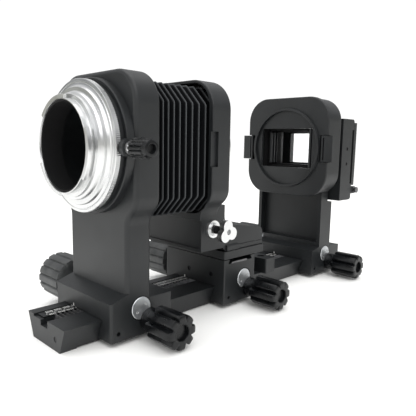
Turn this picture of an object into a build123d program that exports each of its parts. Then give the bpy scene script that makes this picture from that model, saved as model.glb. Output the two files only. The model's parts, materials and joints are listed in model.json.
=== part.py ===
"""Macro bellows unit for a reflex camera, with a slide copier on the same rail.

Millimetres. Origin: mouth of the tripod socket under the middle of the rail.
+X runs along the rail from the camera side to the slide copier, +Z is up, and the lock
knobs are on the -Y side. The rail's underside is z = 0.
"""
import os
from math import atan, cos, pi, radians, sin, sqrt, tan

from build123d import *

os.makedirs("parts", exist_ok=True)

# ---------------------------------------------------------------- driving dimensions

# rail
rail_length = 250.0
rail_height = 13.0
rail_top_width = 38.5
rail_bottom_width = 28.2
rail_relief = 0.8            # underside between the feet and the tripod boss
rail_foot_length = 9.0
tripod_boss_length = 40.0
rail_groove_depth = 1.2      # shallow groove for the scale plate
rail_groove_y = (-2.0, 13.1)
rack_slot_depth = 4.0
rack_slot_y = (-1.9, 5.4)
end_screw_radius = 1.5
end_screw_yz = (-10.0, 6.0)
end_screw_depth = 6.0
end_screw_sunk = 0.2
tripod_thread_radius = 3.2
tripod_bush_radius = 5.0
tripod_bush_cover = 2.0      # rail left between the bush and the rack's slot

# scale plate
scale_plate_thickness = 0.8
scale_plate_y = (5.9, 12.7)
scale_plate_inset = 2.0

# rack and pinion
gear_module = 0.8
pinion_teeth = 13
pinion_width = 6.0
rack_tip_below_rail_top = 0.2
rack_inset = 4.5
pressure_angle = 20.0
tooth_backlash = 0.24

# carriages: what clamps round the rail and slides along it
carriage_half_width = 27.5
carriage_bottom = 2.8
rear_front_x = -104.5        # camera-side face of each carriage
middle_front_x = -22.2
copier_front_x = 77.7
cap_setback = 18.6           # pinion axis behind the carriage's camera-side face
lock_setback = 23.8          # lock knob axis behind the same face
lock_axis_below_rail_top = 2.8
foot_top_z = 21.8
foot_length = 14.6           # behind the neck
shoe_half_length = 3.9       # brake shoe under the lock stud
shoe_below = 3.2
shoe_above = 2.6
shoe_outer_y = -21.4
shoe_pocket_y = -15.0        # the pocket opens into the rail channel
shoe_gap = 0.3
set_screw_radius = 1.1
set_screw_setback = 4.5
set_screw_z = 6.9
set_screw_depth = 2.5
cap_hole_radius = 0.6        # spanner holes in the bearing caps
cap_hole_offset = 3.2
cap_hole_turn = 35.0
cap_hole_depth = 1.0
hump_side_wall = 3.0
hump_wall = 2.0
slide_clearance = 0.3        # carriage to rail, all round
shaft_clearance = 0.05       # radial, each running fit
end_gap = 0.2                # between the end of one piece and the next

# optical axis and standards
optical_axis_z = 100.0
head_below_axis = 36.0       # down to where a neck meets its head
head_above_axis = 38.0
head_half_width = 35.3
head_corner_radius = 17.0
shoulder_rise = 8.0
shoulder_radius = 10.0       # rounds the outer corner of each shoulder
neck_blend_radius = 8.0      # hollow curve from shoulder to neck
rear_neck_depth = 15.5
rear_neck_setback = 9.75
rear_edge_z = 22.9
rear_neck_root_z = 26.0
light_tunnel_radius = 27.0
head_edge_radius = 2.4       # soft outer edges of the castings
saddle_edge_radius = 1.6

# camera mount
mount_ring_radius = 34.9
mount_ring_depth = 4.2
mount_ring_bevel = 0.5
mount_neck_radius = 32.6
mount_neck_depth = 2.5
flange_radius = 33.8
flange_rim_depth = 2.8
barrel_radius = 23.5
barrel_bore_radius = 22.9
barrel_front_x = -114.0
register_radius = 25.6        # plain locating ring behind the bayonet lugs
register_setback = 3.4        # from the barrel's front edge
register_length = 1.7
lug_half_angle = 30.0         # each of the three bayonet lugs
lug_turn = 68.0
lug_reach = 1.8
lug_depth = 1.7
baffle_wall = 1.0
baffle_setback = 0.8
mount_gap = 0.15
mount_recess_gap = 0.5        # flange rim to the ring's recess
clamp_lug_radius = 4.4        # boss on the fixed ring that the clamp screw runs in
clamp_lug_proud = 2.2
clamp_lug_setback = 4.6
clamp_lug_depth = 6.0
mount_stud_radius = 1.8
mount_stud_reach = 3.0
mount_stud_in_knob = 8.0
mount_collar_radius = 3.2
mount_collar_from_ring = (5.6, 2.5)
mount_knob_radius = 4.9
mount_knob_length = 13.0
mount_knob_flutes = 14
mount_flute_radius = 0.75
mount_knob_recess = (2.2, 2.0)   # radius and depth

# bellows
bellows_half_width = 29.0
bellows_half_height = 36.0
bellows_corner = 10.5
bellows_drop = 1.5            # bellows centre below the optical axis
bellows_pleats = 10
pleat_depth = 5.0
bellows_bore_half_width = 20.0
bellows_bore_half_height = 25.0
bellows_recess_depth = 5.0
bellows_recess_gap = 0.8
frame_plate_thickness = 1.0

# front standard
middle_length = 29.8
middle_top_z = 31.2
block_corner = 1.0
block_screw_y = (-16.0, 4.0)
block_screw_z = 20.5
block_screw_radius = 1.6
block_screw_depth = 2.0
block_screw_sunk = 0.5
shift_lock_yz = (15.0, 22.5)
shift_lock_radius = 2.0
shift_lock_depth = 6.0
shift_knob_radius = 5.0
shift_knob_flutes = 12
shift_knob_length = 6.5
flute_radius = 0.8
shift_plate_bottom_z = 31.7
shift_plate_top_z = 36.7
shift_plate_x = (-22.3, 16.5)
dovetail_top_width = 20.0
dovetail_bottom_width = 23.0
dovetail_depth = 2.6
dovetail_clearance = 0.15
shift_travel = 10.0           # each way from the middle
swing_axis_x = -7.3
swing_pin_radius = 4.0
swing_pin_height = 6.0
swing_gap = 0.3
front_head_x = (-42.6, -27.1)
front_neck_x = (-41.8, -22.0)
front_neck_half_width = 26.5
front_neck_bottom_z = 39.5
neck_panel_rim = 1.8          # shallow panel in the neck's camera side
neck_panel_depth = 0.8
cup_wall = 3.2
cup_depth = 10.1
cup_edge_radius = 0.8
latch_notch_length = 4.4
latch_notch_from_axis = (-10.3, 9.2)
latch_notch_depth = 1.6
arm_end_x = 15.7
arm_end_z = 45.0
arm_top_front_z = 53.3
arm_top_end_z = 48.9
arm_grooves = (               # thin marks low on the arm's -Y side: x span, z span
    ((-9.0, 7.3), (39.6, 40.0)),
    ((9.5, 15.7), (39.4, 39.8)),
)
arm_groove_depth = 0.6
index_plate_x = (-20.2, -9.6)
index_plate_z = (37.3, 40.8)
index_plate_thickness = 1.3
index_plate_bevel = 0.9

# lens mount
lens_ring_radius = 31.0
lens_throat_radius = 22.0
lens_ring_depth = 4.0
lens_throat_length = 1.6      # full circle at the back of the ring
lens_lug_depth = 1.6
lens_groove_radius = 24.2
lens_lug_gap = 0.3            # the lugs stand back from the throat
lens_lug_half_angle = 33.0
lens_screw_count = 5
lens_screw_radius = 1.2
lens_screw_depth = 2.5
screw_sunk = 0.3              # screw heads lie this much below their holes' mouths
release_button_radius = 3.0
release_travel = 2.2
release_proud = 4.5
release_button_yz = (-25.0, -25.5)   # from the optical axis

# stop-down plunger
plunger_x = -32.5
plunger_z = 52.4
plunger_rod_radius = 2.4
plunger_tip_y = -11.5
plunger_bore_end_y = -8.0
plunger_collar = ((5.2, 1.4), (3.9, 3.0))   # radius and reach from the neck, of each step
plunger_head_from_neck = (13.2, 9.8)
plunger_head_radius = 4.4
plunger_lobe_radius = 3.7
plunger_lobe_offset = 3.3
plunger_lobe_turn = 20.0
plunger_socket_radius = 1.6
plunger_socket_depth = 2.6

# drive knobs (+Y side) and lock knobs (-Y side)
drive_knob_radius = 14.0
drive_knob_length = 24.0
drive_knob_scallops = 16
scallop_depth = 0.9
drive_recess_radius = 9.0
drive_recess_depth = 1.2
drive_hub_radius = 6.5
drive_hub_length = 8.5
knob_gap = 0.4               # each knob or hub to the carriage face
pinion_shaft_radius = 3.0
shaft_in_knob_gap = 4.0      # shaft's end to the knob's outer end
lock_knob_radius = 9.3
lock_knob_end_y = -54.3
lock_knob_length = 19.5
lock_knob_lobes = 8
lock_neck_radius = 6.2
lock_recess_radius = 4.1
lock_recess_depth = 2.2
lock_stud_radius = 2.5
lock_stud_setback = 4.0      # inside the knob's outer end
bearing_cap_radius = 6.0
bearing_cap_thickness = 1.6
bearing_cap_proud = 0.4

# slide copier
copier_neck_wall = 3.0
copier_edge_z = 21.7
copier_neck_far_y = 33.5      # the neck is wider on the drive side
copier_neck_flare_z = 26.0
copier_root_rise = 1.8
copier_channel_rise = 1.0     # floor of the channel, above the neck's wider part
copier_neck_overlap = 12.0    # neck runs this far up into the housing
copier_plate_x = (75.9, 79.9)
copier_housing_x = (80.2, 96.6)
copier_half_width = 37.2
copier_head_from_axis = (-36.4, 38.5)
copier_corner_radius = 18.0
plate_edge_radius = 1.0
housing_inset = 0.8
adapter_ring_radius = 30.4
adapter_ring_inner = 28.6
adapter_ring_height = 1.7
mask_half_width = 24.0
mask_half_height = 15.0
mask_thickness = 2.4
mask_setback = 0.8
tunnel_wall = 2.5
gate_half_width = 18.0
gate_half_height = 12.0
clip_reach = 41.4
clip_half_height = 9.5
stage_x = (99.3, 114.2)
stage_half_width = 36.0
stage_from_axis = (-40.0, 23.0)
stage_edge_radius = 2.4
stage_screw_x = 107.3
stage_screw_from_axis = (-11.5, 0.0)
stage_screw_radius = 1.3
stage_screw_depth = 2.0
stage_screw_sunk = 0.4
stage_guide_thickness = 2.4
stage_guide_half_width = 26.0
stage_guide_from_axis = (-28.0, 24.0)
stage_neck_gap = 1.5         # top of the neck to the underside of the stage
stage_shift = 6.0             # each way from the middle
stage_back_wall = 6.0         # holds the film gate
stage_gap = 0.3               # stage to door
film_gate_thickness = 1.0
gate_seat = 0.5
film_slot_from_axis = (-27.4, 14.7)
door_x = (117.1, 120.9)
door_pin_x = 122.6
door_pin_below_axis = 32.6
door_top_above_axis = 20.5
door_pin_radius = 1.2
door_pin_head_radius = 2.4
door_pin_head_length = 2.2
hinge_ear_width = 4.0
door_inset = 4.4              # door's side inside the stage's side, between the hinge ears
door_ear_gap = 1.2            # the door is full width from this far above the ears
knuckle_radius = 2.8
knuckle_half = 10.0
diffuser_half_width = 23.0
diffuser_half_height = 17.0
diffuser_inset = 1.0
diffuser_thickness = 1.6
clip_travel = 1.5
clip_proud = 1.2              # the clip stands in front of the plate by this much
clip_depth = 3.1
clip_slit_inset = 1.4
clip_slit_width = 0.9
clip_slit_depth = 1.6

# stop block
stop_block_x = (25.5, 36.6)
stop_block_half_width = 23.0
stop_block_height = 10.3
stop_block_corner = 1.2
stop_screw_y = 14.0
stop_screw_radius = 2.6
stop_screw_depth = 2.5
stop_screw_sunk = 0.7

# ---------------------------------------------------------------- worked-out sizes

rail_end = rail_length / 2
tripod_bush_length = rail_height - rack_slot_depth - tripod_bush_cover
lock_axis_z = rail_height - lock_axis_below_rail_top
pinion_radius = gear_module * pinion_teeth / 2
rack_tip_z = rail_height - rack_tip_below_rail_top
rack_pitch_z = rack_tip_z - gear_module
pinion_axis_z = rack_pitch_z + pinion_radius
pinion_tip_radius = pinion_radius + gear_module
rack_middle_y = sum(rack_slot_y) / 2
hump_radius = pinion_tip_radius + hump_wall
neck_setbacks = (rear_neck_setback, rear_neck_setback + rear_neck_depth)
rear_neck_x = tuple(rear_front_x + setback for setback in neck_setbacks)
rear_head_x = rear_neck_x
copier_axis_z = optical_axis_z


def from_axis(span):
    """Heights that lie these amounts above the optical axis."""
    return tuple(optical_axis_z + offset for offset in span)


head_bottom_z = optical_axis_z - head_below_axis
head_top_z = optical_axis_z + head_above_axis
latch_notch_z = from_axis(latch_notch_from_axis)
copier_head_z = from_axis(copier_head_from_axis)
stage_z = from_axis(stage_from_axis)
stage_screw_z = from_axis(stage_screw_from_axis)
stage_guide_z = from_axis(stage_guide_from_axis)
film_slot_z = from_axis(film_slot_from_axis)
door_pin_z = optical_axis_z - door_pin_below_axis
door_top_z = optical_axis_z + door_top_above_axis
copier_neck_x = tuple(copier_front_x + setback for setback in neck_setbacks)
register_x = (barrel_front_x + register_setback, barrel_front_x + register_setback + register_length)
arm_bottom_z = shift_plate_top_z + swing_gap
shaft_end_y = -carriage_half_width + bearing_cap_thickness - bearing_cap_proud
bellows_start_x = rear_head_x[1] - bellows_recess_depth + frame_plate_thickness + end_gap
cup_floor_x = front_head_x[0] + cup_depth
bellows_end_x = cup_floor_x - frame_plate_thickness - end_gap


# ---------------------------------------------------------------- helpers

def block(x, y, z, mode=Mode.ADD):
    """A box between two x, two y and two z values, in the part being built."""
    middle = ((x[0] + x[1]) / 2, (y[0] + y[1]) / 2, (z[0] + z[1]) / 2)
    with Locations(middle):
        Box(x[1] - x[0], y[1] - y[0], z[1] - z[0], mode=mode)


def rod_y(x, z, radius, y, mode=Mode.ADD):
    """A round bar along Y between two y values."""
    with BuildSketch(Plane((x, y[0], z), x_dir=(1, 0, 0), z_dir=(0, 1, 0))) as section:
        Circle(radius)
    extrude(section.sketch, amount=y[1] - y[0], mode=mode)


def rod_x(y, z, radius, x, mode=Mode.ADD):
    """A round bar along X between two x values."""
    with BuildSketch(Plane((x[0], y, z), x_dir=(0, 1, 0), z_dir=(1, 0, 0))) as section:
        Circle(radius)
    extrude(section.sketch, amount=x[1] - x[0], mode=mode)


def rod_z(x, y, radius, z, mode=Mode.ADD):
    """A round bar along Z between two z values."""
    with BuildSketch(Plane((x, y, z[0]))) as section:
        Circle(radius)
    extrude(section.sketch, amount=z[1] - z[0], mode=mode)


def facing_x(x):
    """The plane at x whose sketch directions are the row's Y and Z."""
    return Plane((x, 0, 0), x_dir=(0, 1, 0), z_dir=(1, 0, 0))


def save(part, label):
    """Label a finished piece and write its STEP."""
    part.label = label
    export_step(part, f"parts/{label}.step")


def rail_outline(gap=0.0):
    """Corners of the rail's section, or of the channel that clears it by gap on each side."""
    lean = (rail_top_width - rail_bottom_width) / 2 / rail_height
    side = gap * sqrt(1 + lean**2)
    low = -1.0 if gap else 0.0
    high = rail_height + gap
    half_low = rail_bottom_width / 2 + side + lean * low
    half_high = rail_bottom_width / 2 + side + lean * high
    return [(-half_low, low), (half_low, low), (half_high, high), (-half_high, high)]


# ---------------------------------------------------------------- rail

with BuildPart() as rail:
    with BuildSketch(facing_x(-rail_end)):
        Polygon(*rail_outline(), align=None)
    extrude(amount=rail_length)
    groove_floor_z = rail_height - rail_groove_depth
    rack_floor_z = rail_height - rack_slot_depth
    whole = (-rail_end, rail_end)
    block(whole, rail_groove_y, (groove_floor_z, rail_height), mode=Mode.SUBTRACT)
    block(whole, rack_slot_y, (rack_floor_z, rail_height), mode=Mode.SUBTRACT)
    for side in (-1, 1):
        relief = sorted((side * tripod_boss_length / 2, side * (rail_end - rail_foot_length)))
        block(relief, (-rail_top_width, rail_top_width), (0, rail_relief), mode=Mode.SUBTRACT)
    rod_z(0, 0, tripod_bush_radius, (0, tripod_bush_length), mode=Mode.SUBTRACT)
    for side in (-1, 1):
        screw_x = sorted((side * rail_end, side * (rail_end - end_screw_depth)))
        rod_x(*end_screw_yz, end_screw_radius, screw_x, mode=Mode.SUBTRACT)
save(rail.part, "rail")

with BuildPart() as tripod_bush:
    rod_z(0, 0, tripod_bush_radius, (0, tripod_bush_length))
    rod_z(0, 0, tripod_thread_radius, (0, tripod_bush_length), mode=Mode.SUBTRACT)
save(tripod_bush.part, "tripod_bush")

with BuildPart() as scale_plate:
    plate_end = rail_end - scale_plate_inset
    plate_z = (groove_floor_z, groove_floor_z + scale_plate_thickness)
    block((-plate_end, plate_end), scale_plate_y, plate_z)
save(scale_plate.part, "scale_plate")

# The rack's teeth line up with the rear pinion, and every pinion is turned to meet them.
tooth_pitch = pi * gear_module
rack_teeth = int((rail_length - 2 * rack_inset) / tooth_pitch) - 1
rack_length = rack_teeth * tooth_pitch
rack_depth = 1.25 * gear_module
flank = tan(radians(pressure_angle))

with BuildPart() as gear_rack:
    with BuildSketch(Plane.XZ.offset(-rack_slot_y[1] + 0.2)):
        with BuildLine():
            points = [(-rack_length / 2, rack_floor_z)]
            for tooth in range(rack_teeth):
                middle = -rack_length / 2 + (tooth + 0.5) * tooth_pitch
                half_pitch_line = tooth_pitch / 4 - tooth_backlash / 2
                half_tip = half_pitch_line - flank * gear_module
                half_root = half_pitch_line + flank * rack_depth
                root_z = rack_pitch_z - rack_depth
                points += [(middle - half_root, root_z), (middle - half_tip, rack_tip_z)]
                points += [(middle + half_tip, rack_tip_z), (middle + half_root, root_z)]
            points.append((rack_length / 2, rack_floor_z))
            points.insert(1, (-rack_length / 2, rack_pitch_z - rack_depth))
            points.insert(-1, (rack_length / 2, rack_pitch_z - rack_depth))
            Polyline(*points, close=True)
        make_face()
    extrude(amount=rack_slot_y[1] - rack_slot_y[0] - 0.4)
save(gear_rack.part, "gear_rack")

with BuildPart() as stop_block:
    stop_y = (-stop_block_half_width, stop_block_half_width)
    block(stop_block_x, stop_y, (rail_height, rail_height + stop_block_height))
    stop_middle_x = sum(stop_block_x) / 2
    for side in (-1, 1):
        stop_top = rail_height + stop_block_height
        head_z = (stop_top - stop_screw_depth, stop_top)
        rod_z(stop_middle_x, side * stop_screw_y, stop_screw_radius, head_z, mode=Mode.SUBTRACT)
    fillet(stop_block.edges().filter_by(Axis.Z), stop_block_corner)
save(stop_block.part, "stop_block")

with BuildPart() as rail_screws:
    for side in (-1, 1):
        head_z = (stop_top - stop_screw_depth, stop_top - stop_screw_sunk)
        rod_z(stop_middle_x, side * stop_screw_y, stop_screw_radius, head_z)
        screw_x = sorted((side * (rail_end - end_screw_sunk), side * (rail_end - end_screw_depth)))
        rod_x(*end_screw_yz, end_screw_radius, screw_x)
save(rail_screws.part, "rail_screws")


# ---------------------------------------------------------------- carriage fittings

def carriage_cuts(front_x):
    """Rail channel, pinion housing and the holes for shaft, cap, lock stud and brake shoe."""
    axis_x = front_x + cap_setback
    lock_x = front_x + lock_setback
    with BuildSketch(facing_x(front_x - 60)) as channel:
        Polygon(*rail_outline(slide_clearance), align=None)
    extrude(channel.sketch, amount=160, mode=Mode.SUBTRACT)
    pocket = (rack_middle_y - pinion_width / 2 - 0.5, rack_middle_y + pinion_width / 2 + 0.5)
    rod_y(axis_x, pinion_axis_z, pinion_tip_radius + 0.5, pocket, mode=Mode.SUBTRACT)
    bore = pinion_shaft_radius + shaft_clearance
    rod_y(axis_x, pinion_axis_z, bore, (shaft_end_y, carriage_half_width), mode=Mode.SUBTRACT)
    outside_y = -carriage_half_width - 1
    rod_y(axis_x, pinion_axis_z, bearing_cap_radius, (outside_y, shaft_end_y), mode=Mode.SUBTRACT)
    stud_bore = lock_stud_radius + shaft_clearance
    rod_y(lock_x, lock_axis_z, stud_bore, (outside_y, shoe_pocket_y), mode=Mode.SUBTRACT)
    shoe_x = (lock_x - shoe_half_length - shoe_gap, lock_x + shoe_half_length + shoe_gap)
    shoe_z = (lock_axis_z - shoe_below - shoe_gap, lock_axis_z + shoe_above + shoe_gap)
    block(shoe_x, (shoe_outer_y - 2 * shoe_gap, shoe_pocket_y), shoe_z, mode=Mode.SUBTRACT)
    hole_y = (-carriage_half_width - 1, -carriage_half_width + set_screw_depth)
    rod_y(front_x + set_screw_setback, set_screw_z, set_screw_radius, hole_y, mode=Mode.SUBTRACT)


def pinion_hump(front_x):
    """The raised round housing over the pinion, in the middle of the carriage."""
    axis_x = front_x + cap_setback
    reach = pinion_width / 2 + hump_side_wall
    rod_y(axis_x, pinion_axis_z, hump_radius, (rack_middle_y - reach, rack_middle_y + reach))


def bearing_cap(front_x):
    """Chrome disc with two spanner holes that closes the shaft's bore on the -Y side."""
    axis_x = front_x + cap_setback
    outer_y = -carriage_half_width - bearing_cap_proud
    with BuildPart() as cap:
        rod_y(axis_x, pinion_axis_z, bearing_cap_radius, (outer_y, shaft_end_y))
        edge = cap.edges().group_by(Axis.Y)[0]
        chamfer(edge, 0.3)
        for step in (-1, 1):
            turn = radians(cap_hole_turn)
            hole_x = axis_x + step * cap_hole_offset * cos(turn)
            hole_z = pinion_axis_z + step * cap_hole_offset * sin(turn)
            hole_y = (outer_y, outer_y + cap_hole_depth)
            rod_y(hole_x, hole_z, cap_hole_radius, hole_y, mode=Mode.SUBTRACT)
    return cap.part


def brake_shoe(front_x):
    """Brass shoe that the lock stud presses on the rail's slanted side."""
    lock_x = front_x + lock_setback
    lean = (rail_top_width - rail_bottom_width) / 2 / rail_height
    low, high = lock_axis_z - shoe_below, lock_axis_z + shoe_above
    face = rail_bottom_width / 2 + slide_clearance / 2
    with BuildPart() as shoe:
        with BuildSketch(facing_x(lock_x - shoe_half_length)):
            corners = [(shoe_outer_y, low), (-face - lean * low, low)]
            corners += [(-face - lean * high, high), (shoe_outer_y, high)]
            Polygon(*corners, align=None)
        extrude(amount=2 * shoe_half_length)
    return shoe.part


def pinion_outline():
    """Corners of the pinion: each tooth flank is an involute, drawn from a few of its points."""
    base = pinion_radius * cos(radians(pressure_angle))
    tip = pinion_tip_radius
    root = pinion_radius - 1.2 * gear_module
    roll_pitch = tan(radians(pressure_angle)) - radians(pressure_angle)
    half_tooth = pi / pinion_teeth / 2 - tooth_backlash / 2 / pinion_radius + roll_pitch
    steps = 4
    flank_points = []
    for step in range(steps + 1):
        radius = base + (tip - base) * step / steps
        roll = sqrt(max((radius / base) ** 2 - 1, 0))
        flank_points.append((radius, half_tooth - (roll - atan(roll))))
    corners = []
    for tooth in range(pinion_teeth):
        middle = 2 * pi * tooth / pinion_teeth
        corners.append((root, middle - half_tooth))
        corners += [(radius, middle - angle) for radius, angle in flank_points]
        corners += [(radius, middle + angle) for radius, angle in reversed(flank_points)]
        corners.append((root, middle + half_tooth))
    return corners


def pinion_shaft(front_x):
    """Steel shaft with its pinion over the rack and a bright hub for the drive knob."""
    axis_x = front_x + cap_setback
    # the rack has a gap centred at each whole number of pitches from its end
    gap_phase = ((axis_x + rack_length / 2) / tooth_pitch) % 1.0
    turn = -pi / 2 - (gap_phase if gap_phase < 0.5 else gap_phase - 1.0) * tooth_pitch / pinion_radius
    hub_start = carriage_half_width + knob_gap
    hub_end = hub_start + drive_hub_length
    with BuildPart() as shaft:
        shaft_y = (shaft_end_y + end_gap, hub_end + drive_knob_length - shaft_in_knob_gap)
        rod_y(axis_x, pinion_axis_z, pinion_shaft_radius, shaft_y)
        gear_y = rack_middle_y - pinion_width / 2
        with BuildSketch(Plane((axis_x, gear_y, pinion_axis_z), x_dir=(1, 0, 0), z_dir=(0, 1, 0))):
            with BuildLine():
                corners = [(r * cos(a - turn), r * sin(a - turn)) for r, a in pinion_outline()]
                Polyline(*corners, close=True)
            make_face()
        extrude(amount=pinion_width)
        rod_y(axis_x, pinion_axis_z, drive_hub_radius, (hub_start, hub_end))
        chamfer(shaft.edges().filter_by(GeomType.CIRCLE).filter_by(
            lambda edge: abs(edge.radius - drive_hub_radius) < 0.01), 0.6)
    return shaft.part


def drive_knob(front_x):
    """Large scalloped focusing knob on the shaft's +Y end."""
    axis_x = front_x + cap_setback
    start = carriage_half_width + knob_gap + drive_hub_length
    scallop_radius = drive_knob_radius * pi / drive_knob_scallops * 0.92
    centre = drive_knob_radius - scallop_depth + scallop_radius
    place = Plane((axis_x, start, pinion_axis_z), x_dir=(1, 0, 0), z_dir=(0, 1, 0))
    with BuildPart() as knob:
        with BuildSketch(place):
            Circle(drive_knob_radius)
            with PolarLocations(centre, drive_knob_scallops):
                Circle(scallop_radius, mode=Mode.SUBTRACT)
            Circle(pinion_shaft_radius, mode=Mode.SUBTRACT)
        extrude(amount=drive_knob_length)
        recess_y = (start + drive_knob_length - drive_recess_depth, start + drive_knob_length)
        rod_y(axis_x, pinion_axis_z, drive_recess_radius, recess_y, mode=Mode.SUBTRACT)
    return knob.part


def lock_stud(front_x):
    """Threaded stud, turned by its lock knob, that presses the brake shoe."""
    lock_x = front_x + lock_setback
    with BuildPart() as stud:
        stud_y = (lock_knob_end_y + lock_stud_setback, shoe_outer_y - end_gap)
        rod_y(lock_x, lock_axis_z, lock_stud_radius, stud_y)
    return stud.part


def lock_knob(front_x):
    """Eight-lobed lock knob with a plain neck and a round recess in its end."""
    lock_x = front_x + lock_setback
    inner_end = lock_knob_end_y + lock_knob_length
    neck_end = -carriage_half_width - knob_gap
    notch_radius = lock_knob_radius * 0.2
    place = Plane((lock_x, lock_knob_end_y, lock_axis_z), x_dir=(1, 0, 0), z_dir=(0, 1, 0))
    with BuildPart() as knob:
        with BuildSketch(place):
            Circle(lock_knob_radius)
            with PolarLocations(lock_knob_radius, lock_knob_lobes):
                Circle(notch_radius, mode=Mode.SUBTRACT)
        extrude(amount=lock_knob_length)
        rod_y(lock_x, lock_axis_z, lock_neck_radius, (inner_end, neck_end))
        stud_y = (lock_knob_end_y + lock_stud_setback, neck_end)
        rod_y(lock_x, lock_axis_z, lock_stud_radius, stud_y, mode=Mode.SUBTRACT)
        recess_y = (lock_knob_end_y, lock_knob_end_y + lock_recess_depth)
        rod_y(lock_x, lock_axis_z, lock_recess_radius, recess_y, mode=Mode.SUBTRACT)
    return knob.part


for name, front_x in (("rear", rear_front_x), ("front", middle_front_x), ("copier", copier_front_x)):
    save(bearing_cap(front_x), f"{name}_bearing_cap")
    save(brake_shoe(front_x), f"{name}_brake_shoe")
    save(pinion_shaft(front_x), f"{name}_pinion_shaft")
    save(drive_knob(front_x), f"{name}_drive_knob")
    save(lock_stud(front_x), f"{name}_lock_stud")
    save(lock_knob(front_x), f"{name}_lock_knob")


# ---------------------------------------------------------------- heads and octagons

def head_outline(bottom_z, neck_half_width):
    """Front view of a standard's head: rounded top corners, and shoulders down to the neck."""
    half = head_half_width
    corners = [
        (-neck_half_width, bottom_z - 6.0),
        (neck_half_width, bottom_z - 6.0),
        (neck_half_width, bottom_z),
        (half, bottom_z + shoulder_rise),
        (half, head_top_z),
        (-half, head_top_z),
        (-half, bottom_z + shoulder_rise),
        (-neck_half_width, bottom_z),
    ]
    Polygon(*corners, align=None)
    fillet([v for v in vertices() if v.Y > head_top_z - 1], head_corner_radius)
    fillet([v for v in vertices() if abs(v.Y - bottom_z - shoulder_rise) < 0.01], shoulder_radius)
    fillet([v for v in vertices() if abs(v.Y - bottom_z) < 0.01], neck_blend_radius)


def outline_edges(part, x, above_z):
    """Outer edges, above a height, of the largest flat face that lies at x."""
    face = part.faces().filter_by(lambda f: abs(f.center().X - x) < 0.01).sort_by(SortBy.AREA)[-1]
    return [edge for edge in face.outer_wire().edges() if edge.center().Z > above_z]


def octagon(half_width, half_height, corner, z):
    """Corners of a rectangle with cut corners, centred at height z."""
    w, h = half_width, half_height
    outline = [(-w, h - corner), (-w + corner, h), (w - corner, h), (w, h - corner)]
    outline += [(w, corner - h), (w - corner, -h), (corner - w, -h), (-w, corner - h)]
    return [(y, z + dz) for y, dz in outline]


# ---------------------------------------------------------------- rear standard

def carriage_side(front_x, edge_z, root_z, neck_x, foot_end):
    """Side view of a carriage: low front edge, slope up to the neck, foot behind it."""
    return [
        (front_x, carriage_bottom),
        (front_x, edge_z),
        (neck_x[0], root_z),
        (neck_x[1], root_z),
        (neck_x[1], foot_top_z),
        (foot_end, foot_top_z),
        (foot_end, carriage_bottom),
    ]


bellows_centre_z = optical_axis_z - bellows_drop

with BuildPart() as rear_standard_frame:
    with BuildSketch(Plane.XZ):
        foot_end = rear_neck_x[1] + foot_length
        side = carriage_side(rear_front_x, rear_edge_z, rear_neck_root_z, rear_neck_x, foot_end)
        Polygon(*side, align=None)
    extrude(amount=carriage_half_width, both=True)
    block(rear_neck_x, (-carriage_half_width, carriage_half_width), (foot_top_z, head_bottom_z))
    with BuildSketch(facing_x(rear_head_x[0])):
        head_outline(head_bottom_z, carriage_half_width)
    extrude(amount=rear_head_x[1] - rear_head_x[0])
    upright = rear_standard_frame.edges().filter_by(Axis.Z)
    fillet(upright.filter_by(lambda edge: edge.center().Z < rear_edge_z), saddle_edge_radius)
    fillet(outline_edges(rear_standard_frame, rear_head_x[0], rear_neck_root_z + 0.5), head_edge_radius)
    fillet(outline_edges(rear_standard_frame, rear_head_x[1], foot_top_z + 0.5), head_edge_radius)
    rod_x(0, optical_axis_z, light_tunnel_radius, (rear_head_x[0], rear_head_x[1]), mode=Mode.SUBTRACT)
    with BuildSketch(facing_x(rear_head_x[1] - bellows_recess_depth)):
        gap = bellows_recess_gap
        half_width, half_height = bellows_half_width + gap, bellows_half_height + gap
        Polygon(*octagon(half_width, half_height, bellows_corner, bellows_centre_z), align=None)
    extrude(amount=bellows_recess_depth, mode=Mode.SUBTRACT)
    pinion_hump(rear_front_x)
    carriage_cuts(rear_front_x)
save(rear_standard_frame.part, "rear_standard_frame")

with BuildPart() as rear_mount_ring:
    ring_back = rear_head_x[0]
    ring_step = ring_back - mount_ring_depth
    ring_front = ring_step - mount_neck_depth
    rod_x(0, optical_axis_z, mount_ring_radius, (ring_step, ring_back))
    chamfer(rear_mount_ring.edges().filter_by(GeomType.CIRCLE).sort_by(Axis.X)[0], mount_ring_bevel)
    rod_x(0, optical_axis_z, mount_neck_radius, (ring_front, ring_step))
    lug_x = ring_back - clamp_lug_setback
    lug_end_y = -mount_ring_radius - clamp_lug_proud
    stud_tip_y = -mount_ring_radius + mount_stud_reach
    rod_y(lug_x, optical_axis_z, clamp_lug_radius, (lug_end_y, -mount_ring_radius + clamp_lug_depth))
    recess_x = (ring_front - 2 * clamp_lug_radius, ring_front)
    rod_x(0, optical_axis_z, flange_radius + mount_recess_gap, recess_x, mode=Mode.SUBTRACT)
    rod_x(0, optical_axis_z, light_tunnel_radius, (ring_front, ring_back), mode=Mode.SUBTRACT)
    stud_bore = mount_stud_radius + shaft_clearance
    rod_y(lug_x, optical_axis_z, stud_bore, (lug_end_y, stud_tip_y), mode=Mode.SUBTRACT)
save(rear_mount_ring.part, "rear_mount_ring")

# ---------------------------------------------------------------- camera mount

flange_back_x = ring_front - mount_gap
rim_front_x = flange_back_x - flange_rim_depth

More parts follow.
